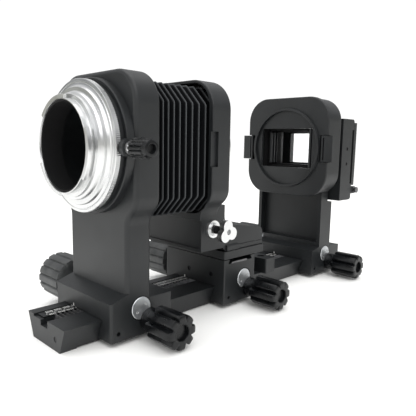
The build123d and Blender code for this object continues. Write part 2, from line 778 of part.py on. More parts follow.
with BuildPart() as camera_flange:
    with BuildSketch(Plane.XZ):
        with BuildLine():
            profile = [
                (flange_back_x, barrel_bore_radius),
                (flange_back_x, flange_radius),
                (rim_front_x, flange_radius),
                (rim_front_x - 0.8, flange_radius - 1.0),
                (rim_front_x - 0.8, flange_radius - 3.6),
                (rim_front_x - 2.2, flange_radius - 4.4),
                (rim_front_x - 2.4, flange_radius - 6.6),
                (rim_front_x - 4.6, flange_radius - 7.6),
                (register_x[1], register_radius),
                (register_x[0], register_radius),
                (register_x[0], barrel_radius),
                (barrel_front_x, barrel_radius),
                (barrel_front_x, barrel_bore_radius),
            ]
            Polyline(*[(x, r + optical_axis_z) for x, r in profile], close=True)
        make_face()
    revolve(axis=Axis((0, 0, optical_axis_z), (1, 0, 0)), revolution_arc=360)
    for lug in range(3):
        with BuildSketch(facing_x(barrel_front_x)):
            with Locations((0, optical_axis_z)):
                Circle(barrel_radius + lug_reach)
                Circle(barrel_radius - 0.2, mode=Mode.SUBTRACT)
                with PolarLocations(0, 1, start_angle=lug_turn + 120 * lug):
                    reach = 2 * barrel_radius
                    half = reach * tan(radians(lug_half_angle))
                    Polygon((0, 0), (reach, -half), (reach, half), align=None, mode=Mode.INTERSECT)
        extrude(amount=lug_depth)
save(camera_flange.part, "camera_flange")

with BuildPart() as light_baffle:
    baffle_x = (barrel_front_x + baffle_setback, flange_back_x)
    rod_x(0, optical_axis_z, barrel_bore_radius, baffle_x)
    rod_x(0, optical_axis_z, barrel_bore_radius - baffle_wall, baffle_x, mode=Mode.SUBTRACT)
save(light_baffle.part, "light_baffle")

with BuildPart() as mount_lock_stud:
    collar_y = tuple(-mount_ring_radius - reach for reach in mount_collar_from_ring)
    stud_start_y = collar_y[0] - mount_stud_in_knob
    rod_y(lug_x, optical_axis_z, mount_stud_radius, (stud_start_y, stud_tip_y))
    rod_y(lug_x, optical_axis_z, mount_collar_radius, collar_y)
save(mount_lock_stud.part, "mount_lock_stud")

with BuildPart() as mount_lock_knob:
    knob_y = (collar_y[0] - mount_knob_length, collar_y[0])
    with BuildSketch(Plane((lug_x, knob_y[0], optical_axis_z), x_dir=(1, 0, 0), z_dir=(0, 1, 0))):
        Circle(mount_knob_radius)
        with PolarLocations(mount_knob_radius + 0.25, mount_knob_flutes):
            Circle(mount_flute_radius, mode=Mode.SUBTRACT)
    extrude(amount=mount_knob_length)
    recess_radius, recess_depth = mount_knob_recess
    recess_y = (knob_y[0], knob_y[0] + recess_depth)
    rod_y(lug_x, optical_axis_z, recess_radius, recess_y, mode=Mode.SUBTRACT)
    rod_y(lug_x, optical_axis_z, mount_stud_radius, (stud_start_y, collar_y[0]), mode=Mode.SUBTRACT)
save(mount_lock_knob.part, "mount_lock_knob")

# ---------------------------------------------------------------- bellows

with BuildPart() as bellows:
    pleat_pitch = (bellows_end_x - bellows_start_x) / bellows_pleats
    for fold in range(2 * bellows_pleats + 1):
        inset = 0 if fold % 2 else pleat_depth
        with BuildSketch(facing_x(bellows_start_x + fold * pleat_pitch / 2)):
            half_width, half_height = bellows_half_width - inset, bellows_half_height - inset
            corner = bellows_corner - inset * 0.6
            Polygon(*octagon(half_width, half_height, corner, bellows_centre_z), align=None)
    loft(ruled=True)
    tunnel_y = (-bellows_bore_half_width, bellows_bore_half_width)
    bore_reach = bellows_bore_half_height
    tunnel_z = (bellows_centre_z - bore_reach, bellows_centre_z + bore_reach)
    block((bellows_start_x, bellows_end_x), tunnel_y, tunnel_z, mode=Mode.SUBTRACT)
save(bellows.part, "bellows")


def bellows_frame(x):
    """Thin metal frame that one end of the bellows is glued to."""
    with BuildPart() as frame:
        with BuildSketch(facing_x(x)):
            outline = octagon(bellows_half_width, bellows_half_height, bellows_corner, bellows_centre_z)
            Polygon(*outline, align=None)
            with Locations((0, bellows_centre_z)):
                Rectangle(2 * bellows_bore_half_width, 2 * bellows_bore_half_height, mode=Mode.SUBTRACT)
        extrude(amount=frame_plate_thickness)
    return frame.part


save(bellows_frame(bellows_start_x - end_gap - frame_plate_thickness), "rear_bellows_frame")
save(bellows_frame(bellows_end_x + end_gap), "front_bellows_frame")

# ---------------------------------------------------------------- front standard carriage

middle_end_x = middle_front_x + middle_length


def dovetail(clearance, top_z):
    """Section of the shift dovetail in side view, up to top_z."""
    floor_z = middle_top_z - dovetail_depth + clearance
    lean = (dovetail_bottom_width - dovetail_top_width) / 2 / dovetail_depth
    inset = clearance * sqrt(1 + lean**2)
    half_top = dovetail_top_width / 2 - inset - lean * (top_z - middle_top_z)
    half_bottom = half_top + lean * (top_z - floor_z)
    corners = [(-half_bottom, floor_z), (half_bottom, floor_z), (half_top, top_z), (-half_top, top_z)]
    return [(swing_axis_x + x, z) for x, z in corners]


with BuildPart() as front_carriage_block:
    middle_y = (-carriage_half_width, carriage_half_width)
    block((middle_front_x, middle_end_x), middle_y, (carriage_bottom, middle_top_z))
    fillet(front_carriage_block.edges().filter_by(Axis.Z), block_corner)
    with BuildSketch(Plane.XZ.offset(-carriage_half_width - 1)):
        Polygon(*dovetail(0.0, middle_top_z), align=None)
    extrude(amount=2 * carriage_half_width + 2, mode=Mode.SUBTRACT)
    for y in block_screw_y:
        screw_x = (middle_front_x, middle_front_x + block_screw_depth)
        rod_x(y, block_screw_z, block_screw_radius, screw_x, mode=Mode.SUBTRACT)
    carriage_cuts(middle_front_x)
    shift_lock_bore = shift_lock_radius + shaft_clearance
    bore_x = (middle_end_x - shift_lock_depth, middle_end_x)
    rod_x(*shift_lock_yz, shift_lock_bore, bore_x, mode=Mode.SUBTRACT)
save(front_carriage_block.part, "front_carriage_block")

with BuildPart() as front_block_screws:
    for y in block_screw_y:
        screw_x = (middle_front_x + block_screw_sunk, middle_front_x + block_screw_depth)
        rod_x(y, block_screw_z, block_screw_radius, screw_x)
save(front_block_screws.part, "front_block_screws")

with BuildPart() as shift_lock_screw:
    screw_x = (middle_end_x - shift_lock_depth + end_gap, middle_end_x + knob_gap + shift_knob_length / 2)
    rod_x(*shift_lock_yz, shift_lock_radius, screw_x)
    with BuildSketch(facing_x(middle_end_x + knob_gap)):
        with Locations(shift_lock_yz):
            Circle(shift_knob_radius)
            with PolarLocations(shift_knob_radius + 0.2, shift_knob_flutes):
                Circle(flute_radius, mode=Mode.SUBTRACT)
    extrude(amount=shift_knob_length)
save(shift_lock_screw.part, "shift_lock_screw")

with BuildPart() as shift_plate:
    block(shift_plate_x, middle_y, (shift_plate_bottom_z, shift_plate_top_z))
    fillet(shift_plate.edges().filter_by(Axis.Z), block_corner)
    tongue_half = carriage_half_width - shift_travel
    with BuildSketch(Plane.XZ.offset(-tongue_half)):
        Polygon(*dovetail(dovetail_clearance, shift_plate_bottom_z), align=None)
    extrude(amount=2 * tongue_half)
    plate_z = (shift_plate_bottom_z, shift_plate_top_z)
    rod_z(swing_axis_x, 0, swing_pin_radius, plate_z, mode=Mode.SUBTRACT)
save(shift_plate.part, "shift_plate")

with BuildPart() as swing_pin:
    rod_z(swing_axis_x, 0, swing_pin_radius, (shift_plate_bottom_z, shift_plate_top_z + swing_pin_height))
save(swing_pin.part, "swing_pin")

# ---------------------------------------------------------------- front standard

with BuildPart() as front_standard_frame:
    with BuildSketch(facing_x(front_head_x[0])):
        head_outline(head_bottom_z, front_neck_half_width)
    extrude(amount=front_head_x[1] - front_head_x[0])
    fillet(outline_edges(front_standard_frame, front_head_x[1], 0), head_edge_radius)
    fillet(outline_edges(front_standard_frame, front_head_x[0], 0), cup_edge_radius)
    neck_y = (-front_neck_half_width, front_neck_half_width)
    block(front_neck_x, neck_y, (front_neck_bottom_z, head_bottom_z + 2.0))
    with BuildSketch(Plane.XZ):
        with BuildLine():
            Polyline(
                (front_neck_x[1] - 1.0, head_bottom_z),
                (front_neck_x[1] - 1.0, front_neck_bottom_z),
                (front_neck_x[1] + 1.4, arm_bottom_z),
                (arm_end_x, arm_bottom_z),
                (arm_end_x, arm_end_z),
            )
            ThreePointArc(
                (arm_end_x, arm_end_z),
                (arm_end_x - 1.4, arm_top_end_z - 1.2),
                (arm_end_x - 5.0, arm_top_end_z),
            )
            Line((arm_end_x - 5.0, arm_top_end_z), (front_neck_x[1] + 5.5, arm_top_front_z))
            ThreePointArc(
                (front_neck_x[1] + 5.5, arm_top_front_z),
                (front_neck_x[1] + 1.6, arm_top_front_z + 1.9),
                (front_neck_x[1], arm_top_front_z + 5.7),
            )
            Polyline(
                (front_neck_x[1], arm_top_front_z + 5.7),
                (front_neck_x[1], head_bottom_z),
                (front_neck_x[1] - 1.0, head_bottom_z),
            )
        make_face()
    extrude(amount=front_neck_half_width, both=True)
    with BuildSketch(facing_x(front_head_x[0])):
        inner_half = head_half_width - cup_wall
        with Locations((0, bellows_centre_z + 0.6)):
            inner_height = 2 * (bellows_half_height + 1.2)
            RectangleRounded(2 * inner_half, inner_height, head_corner_radius - cup_wall - 1)
    extrude(amount=cup_depth, mode=Mode.SUBTRACT)
    rod_x(0, optical_axis_z, light_tunnel_radius - 2, front_head_x, mode=Mode.SUBTRACT)
    panel_x = (front_neck_x[0], front_neck_x[0] + neck_panel_depth)
    panel_y = (-front_neck_half_width + neck_panel_rim, front_neck_half_width - neck_panel_rim)
    block(panel_x, panel_y, (front_neck_bottom_z + neck_panel_rim, head_bottom_z), mode=Mode.SUBTRACT)
    pin_bore = swing_pin_radius + shaft_clearance
    pin_z = (arm_bottom_z, shift_plate_top_z + swing_pin_height + swing_gap)
    rod_z(swing_axis_x, 0, pin_bore, pin_z, mode=Mode.SUBTRACT)
    bore = plunger_rod_radius + shaft_clearance
    rod_y(plunger_x, plunger_z, bore, (-front_neck_half_width, plunger_bore_end_y), mode=Mode.SUBTRACT)
    release_y, release_dz = release_button_yz
    release_z = optical_axis_z + release_dz
    release_bore = release_button_radius + shaft_clearance
    rod_x(release_y, release_z, release_bore, (cup_floor_x, front_head_x[1]), mode=Mode.SUBTRACT)
    notch_y = (-head_half_width, -head_half_width + latch_notch_depth)
    notch_x = (front_head_x[0], front_head_x[0] + latch_notch_length)
    block(notch_x, notch_y, latch_notch_z, mode=Mode.SUBTRACT)
    groove_y = (-front_neck_half_width, -front_neck_half_width + arm_groove_depth)
    for groove_x, groove_z in arm_grooves:
        block(groove_x, groove_y, groove_z, mode=Mode.SUBTRACT)
save(front_standard_frame.part, "front_standard_frame")

with BuildPart() as swing_index_plate:
    plate_y = (-front_neck_half_width - index_plate_thickness, -front_neck_half_width)
    block(index_plate_x, plate_y, index_plate_z)
    top_edge = swing_index_plate.edges().group_by(Axis.Y)[0].filter_by(Axis.X).sort_by(Axis.Z)[-1]
    chamfer(top_edge, index_plate_bevel)
save(swing_index_plate.part, "swing_index_plate")

with BuildPart() as lens_mount_ring:
    ring_x = (front_head_x[1], front_head_x[1] + lens_ring_depth)
    lens_screw_circle = (lens_ring_radius + lens_groove_radius) / 2
    rod_x(0, optical_axis_z, lens_ring_radius, ring_x)
    rod_x(0, optical_axis_z, lens_throat_radius, ring_x, mode=Mode.SUBTRACT)
    groove_x = (ring_x[0] + lens_throat_length, ring_x[1])
    rod_x(0, optical_axis_z, lens_groove_radius, groove_x, mode=Mode.SUBTRACT)
    for lug in range(3):
        with BuildSketch(facing_x(ring_x[1] - lens_lug_depth)):
            with Locations((0, optical_axis_z)):
                Circle(lens_groove_radius + 0.2)
                Circle(lens_throat_radius + lens_lug_gap, mode=Mode.SUBTRACT)
                with PolarLocations(0, 1, start_angle=90 + 120 * lug):
                    reach = 2 * lens_ring_radius
                    half = reach * tan(radians(lens_lug_half_angle))
                    Polygon((0, 0), (reach, -half), (reach, half), align=None, mode=Mode.INTERSECT)
        extrude(amount=lens_lug_depth)
    with Locations(Plane((ring_x[1], 0, optical_axis_z), x_dir=(0, 1, 0), z_dir=(1, 0, 0))):
        with PolarLocations(lens_screw_circle, lens_screw_count, start_angle=18):
            Hole(lens_screw_radius, depth=lens_screw_depth)
save(lens_mount_ring.part, "lens_mount_ring")

with BuildPart() as lens_mount_screws:
    with BuildSketch(facing_x(ring_x[1] - lens_screw_depth)):
        with Locations((0, optical_axis_z)):
            with PolarLocations(lens_screw_circle, lens_screw_count, start_angle=18):
                Circle(lens_screw_radius)
    extrude(amount=lens_screw_depth - screw_sunk)
save(lens_mount_screws.part, "lens_mount_screws")

with BuildPart() as lens_release_button:
    release_x = (cup_floor_x + release_travel + 0.2, front_head_x[1] + release_proud)
    rod_x(release_y, release_z, release_button_radius, release_x)
    chamfer(lens_release_button.edges().group_by(Axis.X)[-1], 0.6)
save(lens_release_button.part, "lens_release_button")

with BuildPart() as collar:
    face_y = -front_neck_half_width
    for radius, reach in plunger_collar:
        rod_y(plunger_x, plunger_z, radius, (face_y - reach, face_y))
        rod_y(plunger_x, plunger_z, bore, (face_y - reach, face_y), mode=Mode.SUBTRACT)
save(collar.part, "plunger_collar")

with BuildPart() as plunger_rod:
    plunger_head_y = tuple(face_y - reach for reach in plunger_head_from_neck)
    rod_y(plunger_x, plunger_z, plunger_rod_radius, (plunger_head_y[1], plunger_tip_y))
save(plunger_rod.part, "plunger_rod")

with BuildPart() as plunger_head:
    head_start = (plunger_x, plunger_head_y[0], plunger_z)
    with BuildSketch(Plane(head_start, x_dir=(1, 0, 0), z_dir=(0, 1, 0))):
        Circle(plunger_head_radius)
        with PolarLocations(plunger_lobe_offset, 3, start_angle=plunger_lobe_turn):
            Circle(plunger_lobe_radius)
        Circle(plunger_socket_radius, mode=Mode.SUBTRACT)
    extrude(amount=plunger_head_y[1] - plunger_head_y[0])
    floor_y = (plunger_head_y[0] + plunger_socket_depth, plunger_head_y[1])
    rod_y(plunger_x, plunger_z, plunger_socket_radius + 0.1, floor_y)
save(plunger_head.part, "plunger_head")

# ---------------------------------------------------------------- slide copier

copier_middle_z = sum(copier_head_z) / 2
copier_half_height = (copier_head_z[1] - copier_head_z[0]) / 2


def copier_outline(inset):
    """Rounded square of the copier's head, drawn smaller by inset."""
    with Locations((0, copier_middle_z)):
        half_width = copier_half_width - inset
        half_height = copier_half_height - inset
        RectangleRounded(2 * half_width, 2 * half_height, copier_corner_radius - inset)


tunnel_outer_y = (-mask_half_width - tunnel_wall, mask_half_width + tunnel_wall)
tunnel_outer_z = from_axis((-mask_half_height - tunnel_wall, mask_half_height + tunnel_wall))

with BuildPart() as copier_frame:
    with BuildSketch(Plane.XZ):
        copier_foot_end = copier_neck_x[1] + foot_length
        root_z = copier_edge_z + copier_root_rise
        side = carriage_side(copier_front_x, copier_edge_z, root_z, copier_neck_x, copier_foot_end)
        Polygon(*side, align=None)
    extrude(amount=carriage_half_width, both=True)
    neck_y = (-carriage_half_width, carriage_half_width)
    block(copier_neck_x, neck_y, (foot_top_z, stage_z[0] - stage_neck_gap))
    far_y = (-carriage_half_width, copier_neck_far_y)
    block(copier_neck_x, far_y, (copier_neck_flare_z, stage_z[0] - stage_neck_gap))
    neck_top_z = copier_head_z[0] + copier_neck_overlap
    block((copier_neck_x[0], copier_housing_x[1]), far_y, (copier_neck_flare_z, neck_top_z))
    block((copier_neck_x[0], copier_housing_x[1]), neck_y, (foot_top_z, neck_top_z))
    inner_y = (-carriage_half_width + copier_neck_wall, copier_neck_far_y - copier_neck_wall)
    web_x = copier_housing_x[1] - copier_neck_wall
    channel_z = (copier_neck_flare_z + copier_channel_rise, neck_top_z)
    block((copier_neck_x[0], web_x), inner_y, channel_z, mode=Mode.SUBTRACT)
    with BuildSketch(facing_x(copier_housing_x[0])):
        copier_outline(housing_inset)
    extrude(amount=copier_housing_x[1] - copier_housing_x[0])
    corner_z = copier_head_z[0] + copier_corner_radius
    fillet(outline_edges(copier_frame, copier_housing_x[1], corner_z), head_edge_radius)
    block(copier_housing_x, tunnel_outer_y, tunnel_outer_z, mode=Mode.SUBTRACT)
    pinion_hump(copier_front_x)
    carriage_cuts(copier_front_x)
save(copier_frame.part, "copier_frame")

clip_slot_half = clip_half_height + 0.4
clip_x = (copier_plate_x[0] - clip_proud, copier_plate_x[0] + clip_depth)

with BuildPart() as copier_front_plate:
    with BuildSketch(facing_x(copier_plate_x[0])):
        copier_outline(0.0)
    extrude(amount=copier_plate_x[1] - copier_plate_x[0])
    fillet(outline_edges(copier_front_plate, copier_plate_x[0], 0), plate_edge_radius)
    ring_x = (copier_plate_x[0] - adapter_ring_height, copier_plate_x[1])
    rod_x(0, copier_axis_z, adapter_ring_radius, ring_x)
    rod_x(0, copier_axis_z, adapter_ring_inner, ring_x, mode=Mode.SUBTRACT)
    for side in (-1, 1):
        slot_y = sorted((side * (adapter_ring_radius + end_gap), side * (copier_half_width + 1)))
        slot_z = (copier_axis_z - clip_slot_half, copier_axis_z + clip_slot_half)
        block((copier_plate_x[0], clip_x[1] + end_gap), slot_y, slot_z, mode=Mode.SUBTRACT)
save(copier_front_plate.part, "copier_front_plate")

with BuildPart() as copier_mask:
    with BuildSketch(facing_x(copier_plate_x[0] + mask_setback)):
        with Locations((0, copier_axis_z)):
            Circle(adapter_ring_inner)
            Rectangle(2 * mask_half_width, 2 * mask_half_height, mode=Mode.SUBTRACT)
    extrude(amount=mask_thickness)
save(copier_mask.part, "copier_mask")

with BuildPart() as copier_light_tunnel:
    tunnel_x = (copier_housing_x[0] + 0.4, copier_housing_x[1])
    block(tunnel_x, tunnel_outer_y, tunnel_outer_z)
    steps = 3
    step_length = (tunnel_x[1] - tunnel_x[0]) / steps
    for step in range(steps):
        share = step / (steps - 1)
        half_y = mask_half_width + (gate_half_width + 1.0 - mask_half_width) * share
        half_z = mask_half_height + (gate_half_height + 1.0 - mask_half_height) * share
        step_x = (tunnel_x[0] + step * step_length, tunnel_x[0] + (step + 1) * step_length)
        block(step_x, (-half_y, half_y), from_axis((-half_z, half_z)), mode=Mode.SUBTRACT)
save(copier_light_tunnel.part, "copier_light_tunnel")

for name, side in (("near", -1), ("far", 1)):
    with BuildPart() as copier_clip:
        inner = adapter_ring_radius + clip_travel + 2 * end_gap
        clip_y = sorted((side * inner, side * clip_reach))
        block(clip_x, clip_y, from_axis((-clip_half_height, clip_half_height)))
        slit_start = inner + clip_slit_inset
        slit_y = sorted((side * slit_start, side * (slit_start + clip_slit_width)))
        slit_half = clip_half_height - clip_slit_inset
        slit_x = (clip_x[0], clip_x[0] + clip_slit_depth)
        block(slit_x, slit_y, from_axis((-slit_half, slit_half)), mode=Mode.SUBTRACT)
    save(copier_clip.part, f"copier_clip_{name}")

# ---------------------------------------------------------------- slide stage and door

with BuildPart() as stage_guide:
    guide_x = (copier_housing_x[1], copier_housing_x[1] + stage_guide_thickness)
    block(guide_x, (-stage_guide_half_width, stage_guide_half_width), stage_guide_z)
    window_y = (-gate_half_width - 1, gate_half_width + 1)
    window_z = from_axis((-gate_half_height - 1, gate_half_height + 1))
    block(guide_x, window_y, window_z, mode=Mode.SUBTRACT)
save(stage_guide.part, "stage_guide")

with BuildPart() as slide_stage:
    stage_y = (-stage_half_width, stage_half_width)
    block(stage_x, stage_y, stage_z)
    block((stage_x[1], door_x[0] - stage_gap), stage_y, (stage_z[0], film_slot_z[0]))
    block((stage_x[1], door_x[0] - stage_gap), stage_y, (film_slot_z[1], stage_z[1]))
    edges_along_y = slide_stage.edges().filter_by(Axis.Y)
    fillet(edges_along_y.group_by(Axis.Z)[-1].sort_by(Axis.X)[-1], stage_edge_radius)
    fillet(edges_along_y.group_by(Axis.Z)[0].sort_by(Axis.X)[-1], stage_edge_radius)
    tunnel_half_y = gate_half_width + stage_shift + 1.2
    tunnel_x = (stage_x[0], stage_x[1] - stage_back_wall)
    tunnel_z = from_axis((-gate_half_height - 2, gate_half_height + 2))
    block(tunnel_x, (-tunnel_half_y, tunnel_half_y), tunnel_z, mode=Mode.SUBTRACT)
    window_y = (-gate_half_width - gate_seat, gate_half_width + gate_seat)
    window_z = from_axis((-gate_half_height - gate_seat, gate_half_height + gate_seat))
    block(stage_x, window_y, window_z, mode=Mode.SUBTRACT)
    for z in stage_screw_z:
        screw_y = (-stage_half_width, -stage_half_width + stage_screw_depth)
        rod_y(stage_screw_x, z, stage_screw_radius, screw_y, mode=Mode.SUBTRACT)
save(slide_stage.part, "slide_stage")

with BuildPart() as stage_screws:
    for z in stage_screw_z:
        screw_y = (-stage_half_width + stage_screw_sunk, -stage_half_width + stage_screw_depth)
        rod_y(stage_screw_x, z, stage_screw_radius, screw_y)
save(stage_screws.part, "stage_screws")

with BuildPart() as film_gate:
    with BuildSketch(facing_x(stage_x[1] - stage_back_wall)):
        with Locations((0, copier_axis_z)):
            Rectangle(2 * (gate_half_width + gate_seat), 2 * (gate_half_height + gate_seat))
            Rectangle(2 * (gate_half_width - gate_seat), 2 * gate_half_height, mode=Mode.SUBTRACT)
    extrude(amount=film_gate_thickness)
save(film_gate.part, "film_gate")

with BuildPart() as hinge_bracket:
    for side in (-1, 1):
        ear_y = sorted((side * (stage_half_width - hinge_ear_width), side * stage_half_width))
        ear_z = (door_pin_z - knuckle_radius, door_pin_z + knuckle_radius)
        block((door_x[0] - stage_gap, door_pin_x), ear_y, ear_z)
        rod_y(door_pin_x, door_pin_z, knuckle_radius, ear_y)
        rod_y(door_pin_x, door_pin_z, door_pin_radius, ear_y, mode=Mode.SUBTRACT)
save(hinge_bracket.part, "hinge_bracket")

with BuildPart() as door_pin:
    rod_y(door_pin_x, door_pin_z, door_pin_radius, (-stage_half_width, stage_half_width))
    for side in (-1, 1):
        head_y = sorted((side * stage_half_width, side * (stage_half_width + door_pin_head_length)))
        rod_y(door_pin_x, door_pin_z, door_pin_head_radius, head_y)
save(door_pin.part, "door_pin")

with BuildPart() as diffuser_door:
    door_half = stage_half_width - door_inset
    block(door_x, (-door_half, door_half), (door_pin_z, door_top_z))
    wide_z = (door_pin_z + knuckle_radius + door_ear_gap, door_top_z)
    block(door_x, (-stage_half_width, stage_half_width), wide_z)
    lip_x = door_pin_x - sqrt((door_pin_x - door_x[0]) ** 2 - knuckle_radius**2)
    block((lip_x, door_pin_x), (-knuckle_half, knuckle_half), (door_pin_z - knuckle_radius, door_pin_z))
    rod_y(door_pin_x, door_pin_z, knuckle_radius, (-knuckle_half, knuckle_half))
    diffuser_y = (-diffuser_half_width, diffuser_half_width)
    diffuser_z = from_axis((-diffuser_half_height, diffuser_half_height))
    block(door_x, diffuser_y, diffuser_z, mode=Mode.SUBTRACT)
    pin_bore = door_pin_radius + shaft_clearance
    rod_y(door_pin_x, door_pin_z, pin_bore, (-door_half, door_half), mode=Mode.SUBTRACT)
save(diffuser_door.part, "diffuser_door")

with BuildPart() as opal_diffuser:
    opal_x = (door_x[0] + diffuser_inset, door_x[0] + diffuser_inset + diffuser_thickness)
    block(opal_x, diffuser_y, diffuser_z)
save(opal_diffuser.part, "opal_diffuser")
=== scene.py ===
import json
from math import cos, radians, sin, tau

import bmesh
import bpy
from mathutils import Matrix, Vector


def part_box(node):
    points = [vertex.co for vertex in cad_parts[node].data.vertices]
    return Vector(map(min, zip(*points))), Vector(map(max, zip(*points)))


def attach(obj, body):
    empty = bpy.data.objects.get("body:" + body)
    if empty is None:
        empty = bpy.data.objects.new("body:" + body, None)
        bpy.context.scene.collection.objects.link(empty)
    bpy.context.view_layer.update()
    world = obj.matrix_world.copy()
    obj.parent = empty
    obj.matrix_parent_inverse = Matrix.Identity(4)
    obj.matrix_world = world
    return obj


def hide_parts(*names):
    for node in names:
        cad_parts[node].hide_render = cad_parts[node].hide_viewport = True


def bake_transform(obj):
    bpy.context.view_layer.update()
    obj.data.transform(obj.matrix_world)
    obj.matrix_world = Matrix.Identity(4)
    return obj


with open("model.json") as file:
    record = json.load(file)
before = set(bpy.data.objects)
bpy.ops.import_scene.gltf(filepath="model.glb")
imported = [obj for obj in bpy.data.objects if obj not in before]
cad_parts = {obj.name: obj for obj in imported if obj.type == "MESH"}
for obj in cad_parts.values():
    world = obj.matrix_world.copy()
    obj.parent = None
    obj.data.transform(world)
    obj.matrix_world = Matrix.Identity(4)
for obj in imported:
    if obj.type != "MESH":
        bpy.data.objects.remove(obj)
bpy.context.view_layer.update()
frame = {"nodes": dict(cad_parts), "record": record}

scene = bpy.context.scene
nodes = frame["nodes"]
MM = 0.001


# ---------------------------------------------------------------- camera, floor and lights

def aim_camera():
    """A long-ish lens low in front of the camera mount, turned a little about its own axis."""
    place = Vector((-226.36, -212.85, 103.09)) * MM
    yaw, dip, roll = radians(44.48), radians(8.08), radians(1.04)
    forward = Vector((cos(yaw) * cos(dip), sin(yaw) * cos(dip), -sin(dip)))
    level = Vector((sin(yaw), -cos(yaw), 0.0))
    upward = level.cross(forward)
    side = cos(roll) * level + sin(roll) * upward
    top = -sin(roll) * level + cos(roll) * upward
    data = bpy.data.cameras.new("studio_camera")
    data.sensor_width = 36.0
    data.lens = 39.87
    data.clip_start = 0.01
    camera = bpy.data.objects.new("studio_camera", data)
    turn = Matrix((side, top, -forward)).transposed().to_4x4()
    camera.matrix_world = Matrix.Translation(place) @ turn
    scene.collection.objects.link(camera)
    scene.camera = camera


def lay_floor():
    """A wide pale sheet under the object."""
    mesh = bpy.data.meshes.new("floor")
    reach = 6.0
    rim = [(-reach, -reach, 0), (reach, -reach, 0), (reach, reach, 0), (-reach, reach, 0)]
    mesh.from_pydata(rim, [], [(0, 1, 2, 3)])
    floor = bpy.data.objects.new("floor", mesh)
    scene.collection.objects.link(floor)
    paper = bpy.data.materials.new("pale_paper")
    paper.use_nodes = True
    shader = paper.node_tree.nodes["Principled BSDF"]
    shader.inputs["Base Color"].default_value = (0.985, 0.985, 0.97, 1)
    shader.inputs["Roughness"].default_value = 0.9
    shader.inputs["Specular IOR Level"].default_value = 0.1
    mesh.materials.append(paper)


def hang_lights():
    """Soft boxes round a white room, whose walls show darker bands to polished metal."""
    world = bpy.data.worlds.new("studio")
    world.use_nodes = True
    scene.world = world
    tree = world.node_tree
    tree.nodes.clear()
    out = tree.nodes.new("ShaderNodeOutputWorld")
    white = tree.nodes.new("ShaderNodeBackground")
    white.inputs["Color"].default_value = (1, 1, 1, 1)
    white.inputs["Strength"].default_value = 1.06
    room = tree.nodes.new("ShaderNodeBackground")
    room.inputs["Strength"].default_value = 1.0
    coords = tree.nodes.new("ShaderNodeTexCoord")
    split = tree.nodes.new("ShaderNodeSeparateXYZ")
    height = tree.nodes.new("ShaderNodeMapRange")
    height.inputs["From Min"].default_value = -1.0
    ramp = tree.nodes.new("ShaderNodeValToRGB")
    stops = ramp.color_ramp.elements
    stops[0].position, stops[0].color = 0.30, (0.80, 0.80, 0.80, 1)
    stops[1].position, stops[1].color = 1.0, (1.0, 1.0, 1.0, 1)
    bands = (
        (0.45, (0.62, 0.62, 0.62)), (0.485, (0.42, 0.30, 0.27)), (0.51, (0.26, 0.27, 0.27)),
        (0.54, (0.46, 0.46, 0.33)), (0.57, (0.20, 0.21, 0.22)), (0.64, (0.24, 0.25, 0.27)),
        (0.70, (0.95, 0.95, 0.96)), (0.80, (0.60, 0.61, 0.62)),
    )
    for place, shade in bands:
        stops.new(place).color = (*shade, 1)
    mix = tree.nodes.new("ShaderNodeMixShader")
    path = tree.nodes.new("ShaderNodeLightPath")
    link = tree.links.new
    link(coords.outputs["Generated"], split.inputs[0])
    link(split.outputs["Z"], height.inputs["Value"])
    link(height.outputs["Result"], ramp.inputs["Fac"])
    link(ramp.outputs["Color"], room.inputs["Color"])
    link(path.outputs["Is Glossy Ray"], mix.inputs["Fac"])
    link(white.outputs[0], mix.inputs[1])
    link(room.outputs[0], mix.inputs[2])
    link(mix.outputs[0], out.inputs["Surface"])
    boxes = {
        "key": ((-0.5, -0.9, 1.1), 1.0, 6.5),
        "top": ((0.1, 0.1, 1.3), 1.2, 6.0),
        "side": ((-1.3, 0.3, 0.5), 0.8, 2.5),
    }
    for name, (place, size, power) in boxes.items():
        data = bpy.data.lights.new(name, "AREA")
        data.size = size
        data.energy = power
        lamp = bpy.data.objects.new(name, data)
        lamp.location = place
        lamp.rotation_euler = (Vector((0.0, 0.0, 0.06)) - lamp.location).to_track_quat("-Z", "Y").to_euler()
        scene.collection.objects.link(lamp)


aim_camera()
lay_floor()
hang_lights()
scene.view_settings.view_transform = "Standard"


# ---------------------------------------------------------------- finishes

